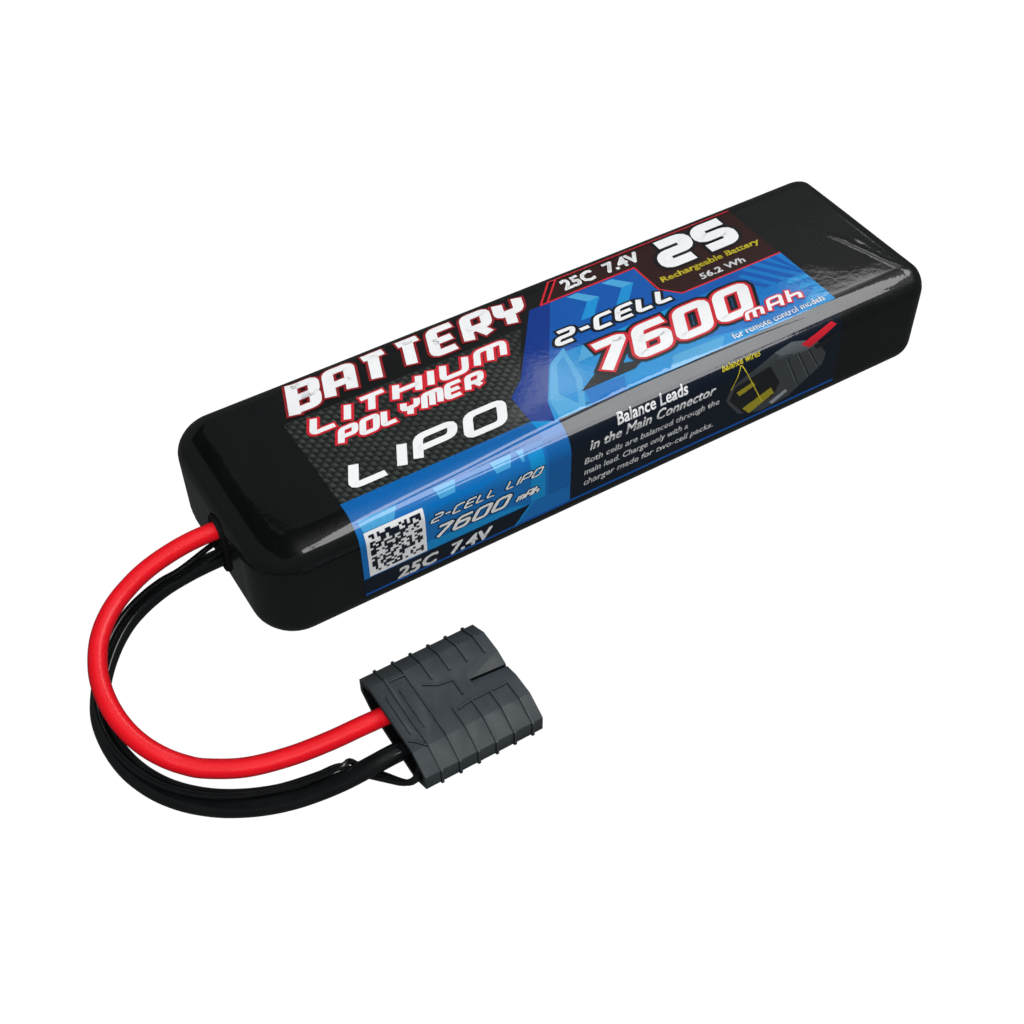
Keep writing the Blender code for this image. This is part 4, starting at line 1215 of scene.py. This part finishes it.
def dress_nodes():
    """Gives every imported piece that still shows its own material."""
    dressed = (
        (fibre_material("stiffener sheet", (0.52, 0.5, 0.4), (0.64, 0.62, 0.53), 900.0, 0.5, 0.00004),
         "bottom_plate top_plate"),
        (moulded_material("end cap plastic", (0.03, 0.03, 0.033), 0.45, 0.6), "lead_end_cap rear_end_cap"),
        (fibre_material("cell foam", (0.11, 0.11, 0.12), (0.19, 0.19, 0.2), 1300.0, 0.9, 0.0002),
         "rear_foam_pad"),
        (metal_material("pouch foil", (0.62, 0.63, 0.65), 0.28, 0.42, (1, 6, 6)), "cell_lower cell_upper"),
        (fibre_material("foam tape", (0.66, 0.65, 0.6), (0.78, 0.77, 0.73), 1100.0, 0.85, 0.0001),
         "cell_divider"),
        (metal_material("aluminium strip", (0.82, 0.82, 0.81), 0.22, 0.36, (1, 12, 12)),
         "cell_lower_positive_tab cell_upper_positive_tab"),
        (metal_material("nickel strip", (0.68, 0.66, 0.61), 0.24, 0.4, (1, 12, 12)),
         "cell_lower_negative_tab cell_upper_negative_tab"),
        (fibre_material("board laminate", (0.012, 0.12, 0.05), (0.03, 0.2, 0.09), 1600.0, 0.38, 0.00003),
         "junction_board"),
        (fibre_material("insulation paper", (0.08, 0.19, 0.17), (0.13, 0.26, 0.23), 1400.0, 0.75, 0.00005),
         "tab_insulator"),
        (metal_material("solder", (0.72, 0.72, 0.74), 0.18, 0.34, (1, 1, 1), 0.0001),
         "positive_solder_joint negative_solder_joint balance_solder_joint_a balance_solder_joint_b"),
        (moulded_material("grommet rubber", (0.008, 0.008, 0.009), 0.5, 0.66), "lead_grommet"),
        (moulded_material("retainer nylon", (0.006, 0.0065, 0.007), 0.5, 0.64), "terminal_retainer"),
        (metal_material("gold plating", (0.86, 0.62, 0.26), 0.16, 0.3, (2, 10, 10)),
         "positive_terminal negative_terminal balance_contact_a balance_contact_b"),
    )
    for material, names in dressed:
        for name in names.split():
            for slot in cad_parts[name].material_slots:
                slot.material = material


# ---------------------------------------------------------------- studio

CARD_HEIGHT = 0.7
CARD_GAP = 0.001  # from one step of a soft card up to the next larger one
STEPS_LIFT = 0.007
DARK_LIFT = 0.008
WHITE = 1.02  # strength of the floor and of the backdrop
FLOOR_DROP = 0.0002
# How bright the surroundings are at the horizon and above.
SKY = (("From Min", -0.02), ("From Max", 0.22), ("To Min", 0.042), ("To Max", 0.052))
SKY_COLOUR = (0.93, 0.98, 1.0, 1)
# Cards overhead, as outlines in (x, y), metres: the bright soft light and the faint one beside it,
MAIN_CARD = (
    (0.155, -0.86), (0.145, -0.55), (0.155, -0.28), (0.288, 0.16), (0.36, 0.27), (0.423, 0.30), (0.49, 0.30),
    (0.555, 0.18), (0.605, -0.08), (0.665, -0.42), (0.74, -0.86),
)
FAINT_CARD = (
    (0.33, 0.36), (0.337, 0.6), (0.369, 0.672), (0.72, 0.588), (0.72, 0.42), (0.56, 0.26), (0.49, 0.32),
    (0.42, 0.32),
)
# a small hazy light over the middle of the label, another over the rear end of the front edge,
HAZE_CARD = (
    (0.312, 0.582), (0.346, 0.618), (0.401, 0.673), (0.447, 0.673), (0.462, 0.61), (0.474, 0.573),
    (0.392, 0.566),
)
CORNER_CARD = (
    (0.655, 0.622), (0.70, 0.606), (0.775, 0.584), (0.785, 0.53), (0.74, 0.49), (0.66, 0.51), (0.615, 0.56),
)
# and a black card that keeps the rest of the gloss dark.
DARK_CARD = (
    (-0.62, 1.1), (0.10, 1.1), (0.105, 0.62), (0.14, 0.568), (0.33, 0.56), (0.36, 0.27), (0.288, 0.16),
    (0.15, -0.28), (0.15, -0.9), (-0.62, -0.9),
)
# Lights that brighten the object without being reflected: place, width and power.
FILL_LIGHTS = {
    "fill_front": ((-0.35, -0.85, 0.85), 0.7, 11.5),
    "fill_above": ((-0.1, -0.1, 1.1), 0.9, 4.6),
    "fill_back": ((0.6, 1.2, 0.25), 0.8, 14.0),
}


def emission_material(name, strength):
    """A material that shines white at the strength."""
    material = bpy.data.materials.new(name)
    material.use_nodes = True
    tree = material.node_tree
    tree.nodes.clear()
    light = tree.nodes.new("ShaderNodeEmission")
    light.inputs["Color"].default_value = (1, 1, 1, 1)
    light.inputs["Strength"].default_value = strength
    output = tree.nodes.new("ShaderNodeOutputMaterial")
    tree.links.new(light.outputs[0], output.inputs["Surface"])
    return material


def card(name, points, height, strength, diffuse=True):
    """A flat light card, seen only in reflections and, if diffuse, by the matt parts."""
    form = bmesh.new()
    form.faces.new([form.verts.new((x, y, height)) for x, y in points])
    bmesh.ops.triangulate(form, faces=form.faces)
    obj = mesh_object(name, form, [emission_material(name, strength)])
    obj.visible_camera = False
    obj.visible_diffuse = diffuse
    obj.visible_shadow = False


def soft_card(name, outline, strength, steps, shrink):
    """A light card that gets brighter in steps from its edge to its middle."""
    middle_x = sum(x for x, y in outline) / len(outline)
    middle_y = sum(y for x, y in outline) / len(outline)
    for i in range(steps):
        keep = 1 - shrink * i
        points = [(middle_x + (x - middle_x) * keep, middle_y + (y - middle_y) * keep) for x, y in outline]
        card(f"{name}_{i}", points, CARD_HEIGHT + STEPS_LIFT - CARD_GAP * i, strength * (i + 1) / steps)


def make_world():
    """Dim surroundings, a little brighter above than at the horizon."""
    scene = bpy.context.scene
    scene.view_settings.view_transform = "Standard"
    world = bpy.data.worlds.new("studio")
    scene.world = world
    world.use_nodes = True
    tree = world.node_tree
    place = tree.nodes.new("ShaderNodeTexCoord").outputs["Generated"]
    parts = tree.nodes.new("ShaderNodeSeparateXYZ")
    tree.links.new(place, parts.inputs[0])
    rise = tree.nodes.new("ShaderNodeMapRange")
    rise.interpolation_type = "SMOOTHSTEP"
    for key, value in SKY:
        rise.inputs[key].default_value = value
    tree.links.new(parts.outputs[2], rise.inputs["Value"])
    sky = tree.nodes["Background"]
    sky.inputs["Color"].default_value = SKY_COLOUR
    tree.links.new(rise.outputs[0], sky.inputs["Strength"])


def make_studio():
    """The white floor and backdrop, the light cards and the fill lights."""
    form = bmesh.new()
    bmesh.ops.create_circle(form, cap_ends=True, segments=64, radius=4.0)
    floor = mesh_object("floor", form, [emission_material("floor", WHITE)])
    floor.location.z = -FLOOR_DROP
    form = bmesh.new()
    bmesh.ops.create_uvsphere(form, u_segments=48, v_segments=24, radius=4.5)
    backdrop = mesh_object("backdrop", form, [emission_material("backdrop", WHITE)])
    backdrop.visible_shadow = False
    for obj in (floor, backdrop):
        obj.visible_glossy = False
        obj.visible_diffuse = False
    card("soft_light", MAIN_CARD, CARD_HEIGHT, 2.4)
    soft_card("faint_light", FAINT_CARD, 0.42, 4, 0.06)
    soft_card("haze_light", HAZE_CARD, 1.1, 6, 0.13)
    soft_card("corner_light", CORNER_CARD, 1.7, 6, 0.13)
    card("dark_card", DARK_CARD, CARD_HEIGHT + DARK_LIFT, 0.0, False)
    for name, (place, size, power) in FILL_LIGHTS.items():
        data = bpy.data.lights.new(name, "AREA")
        data.size = size
        data.energy = power
        light = link(bpy.data.objects.new(name, data))
        light.location = place
        light.rotation_euler = (-Vector(place)).to_track_quat("-Z", "Y").to_euler()
        light.visible_glossy = False
        light.visible_camera = False


def main():
    make_camera()
    plug = make_plug()
    make_leads()
    make_film()
    inks = make_inks()
    make_top_print(inks)
    make_side_print(inks)
    dress_nodes()
    make_world()
    make_studio()


main()
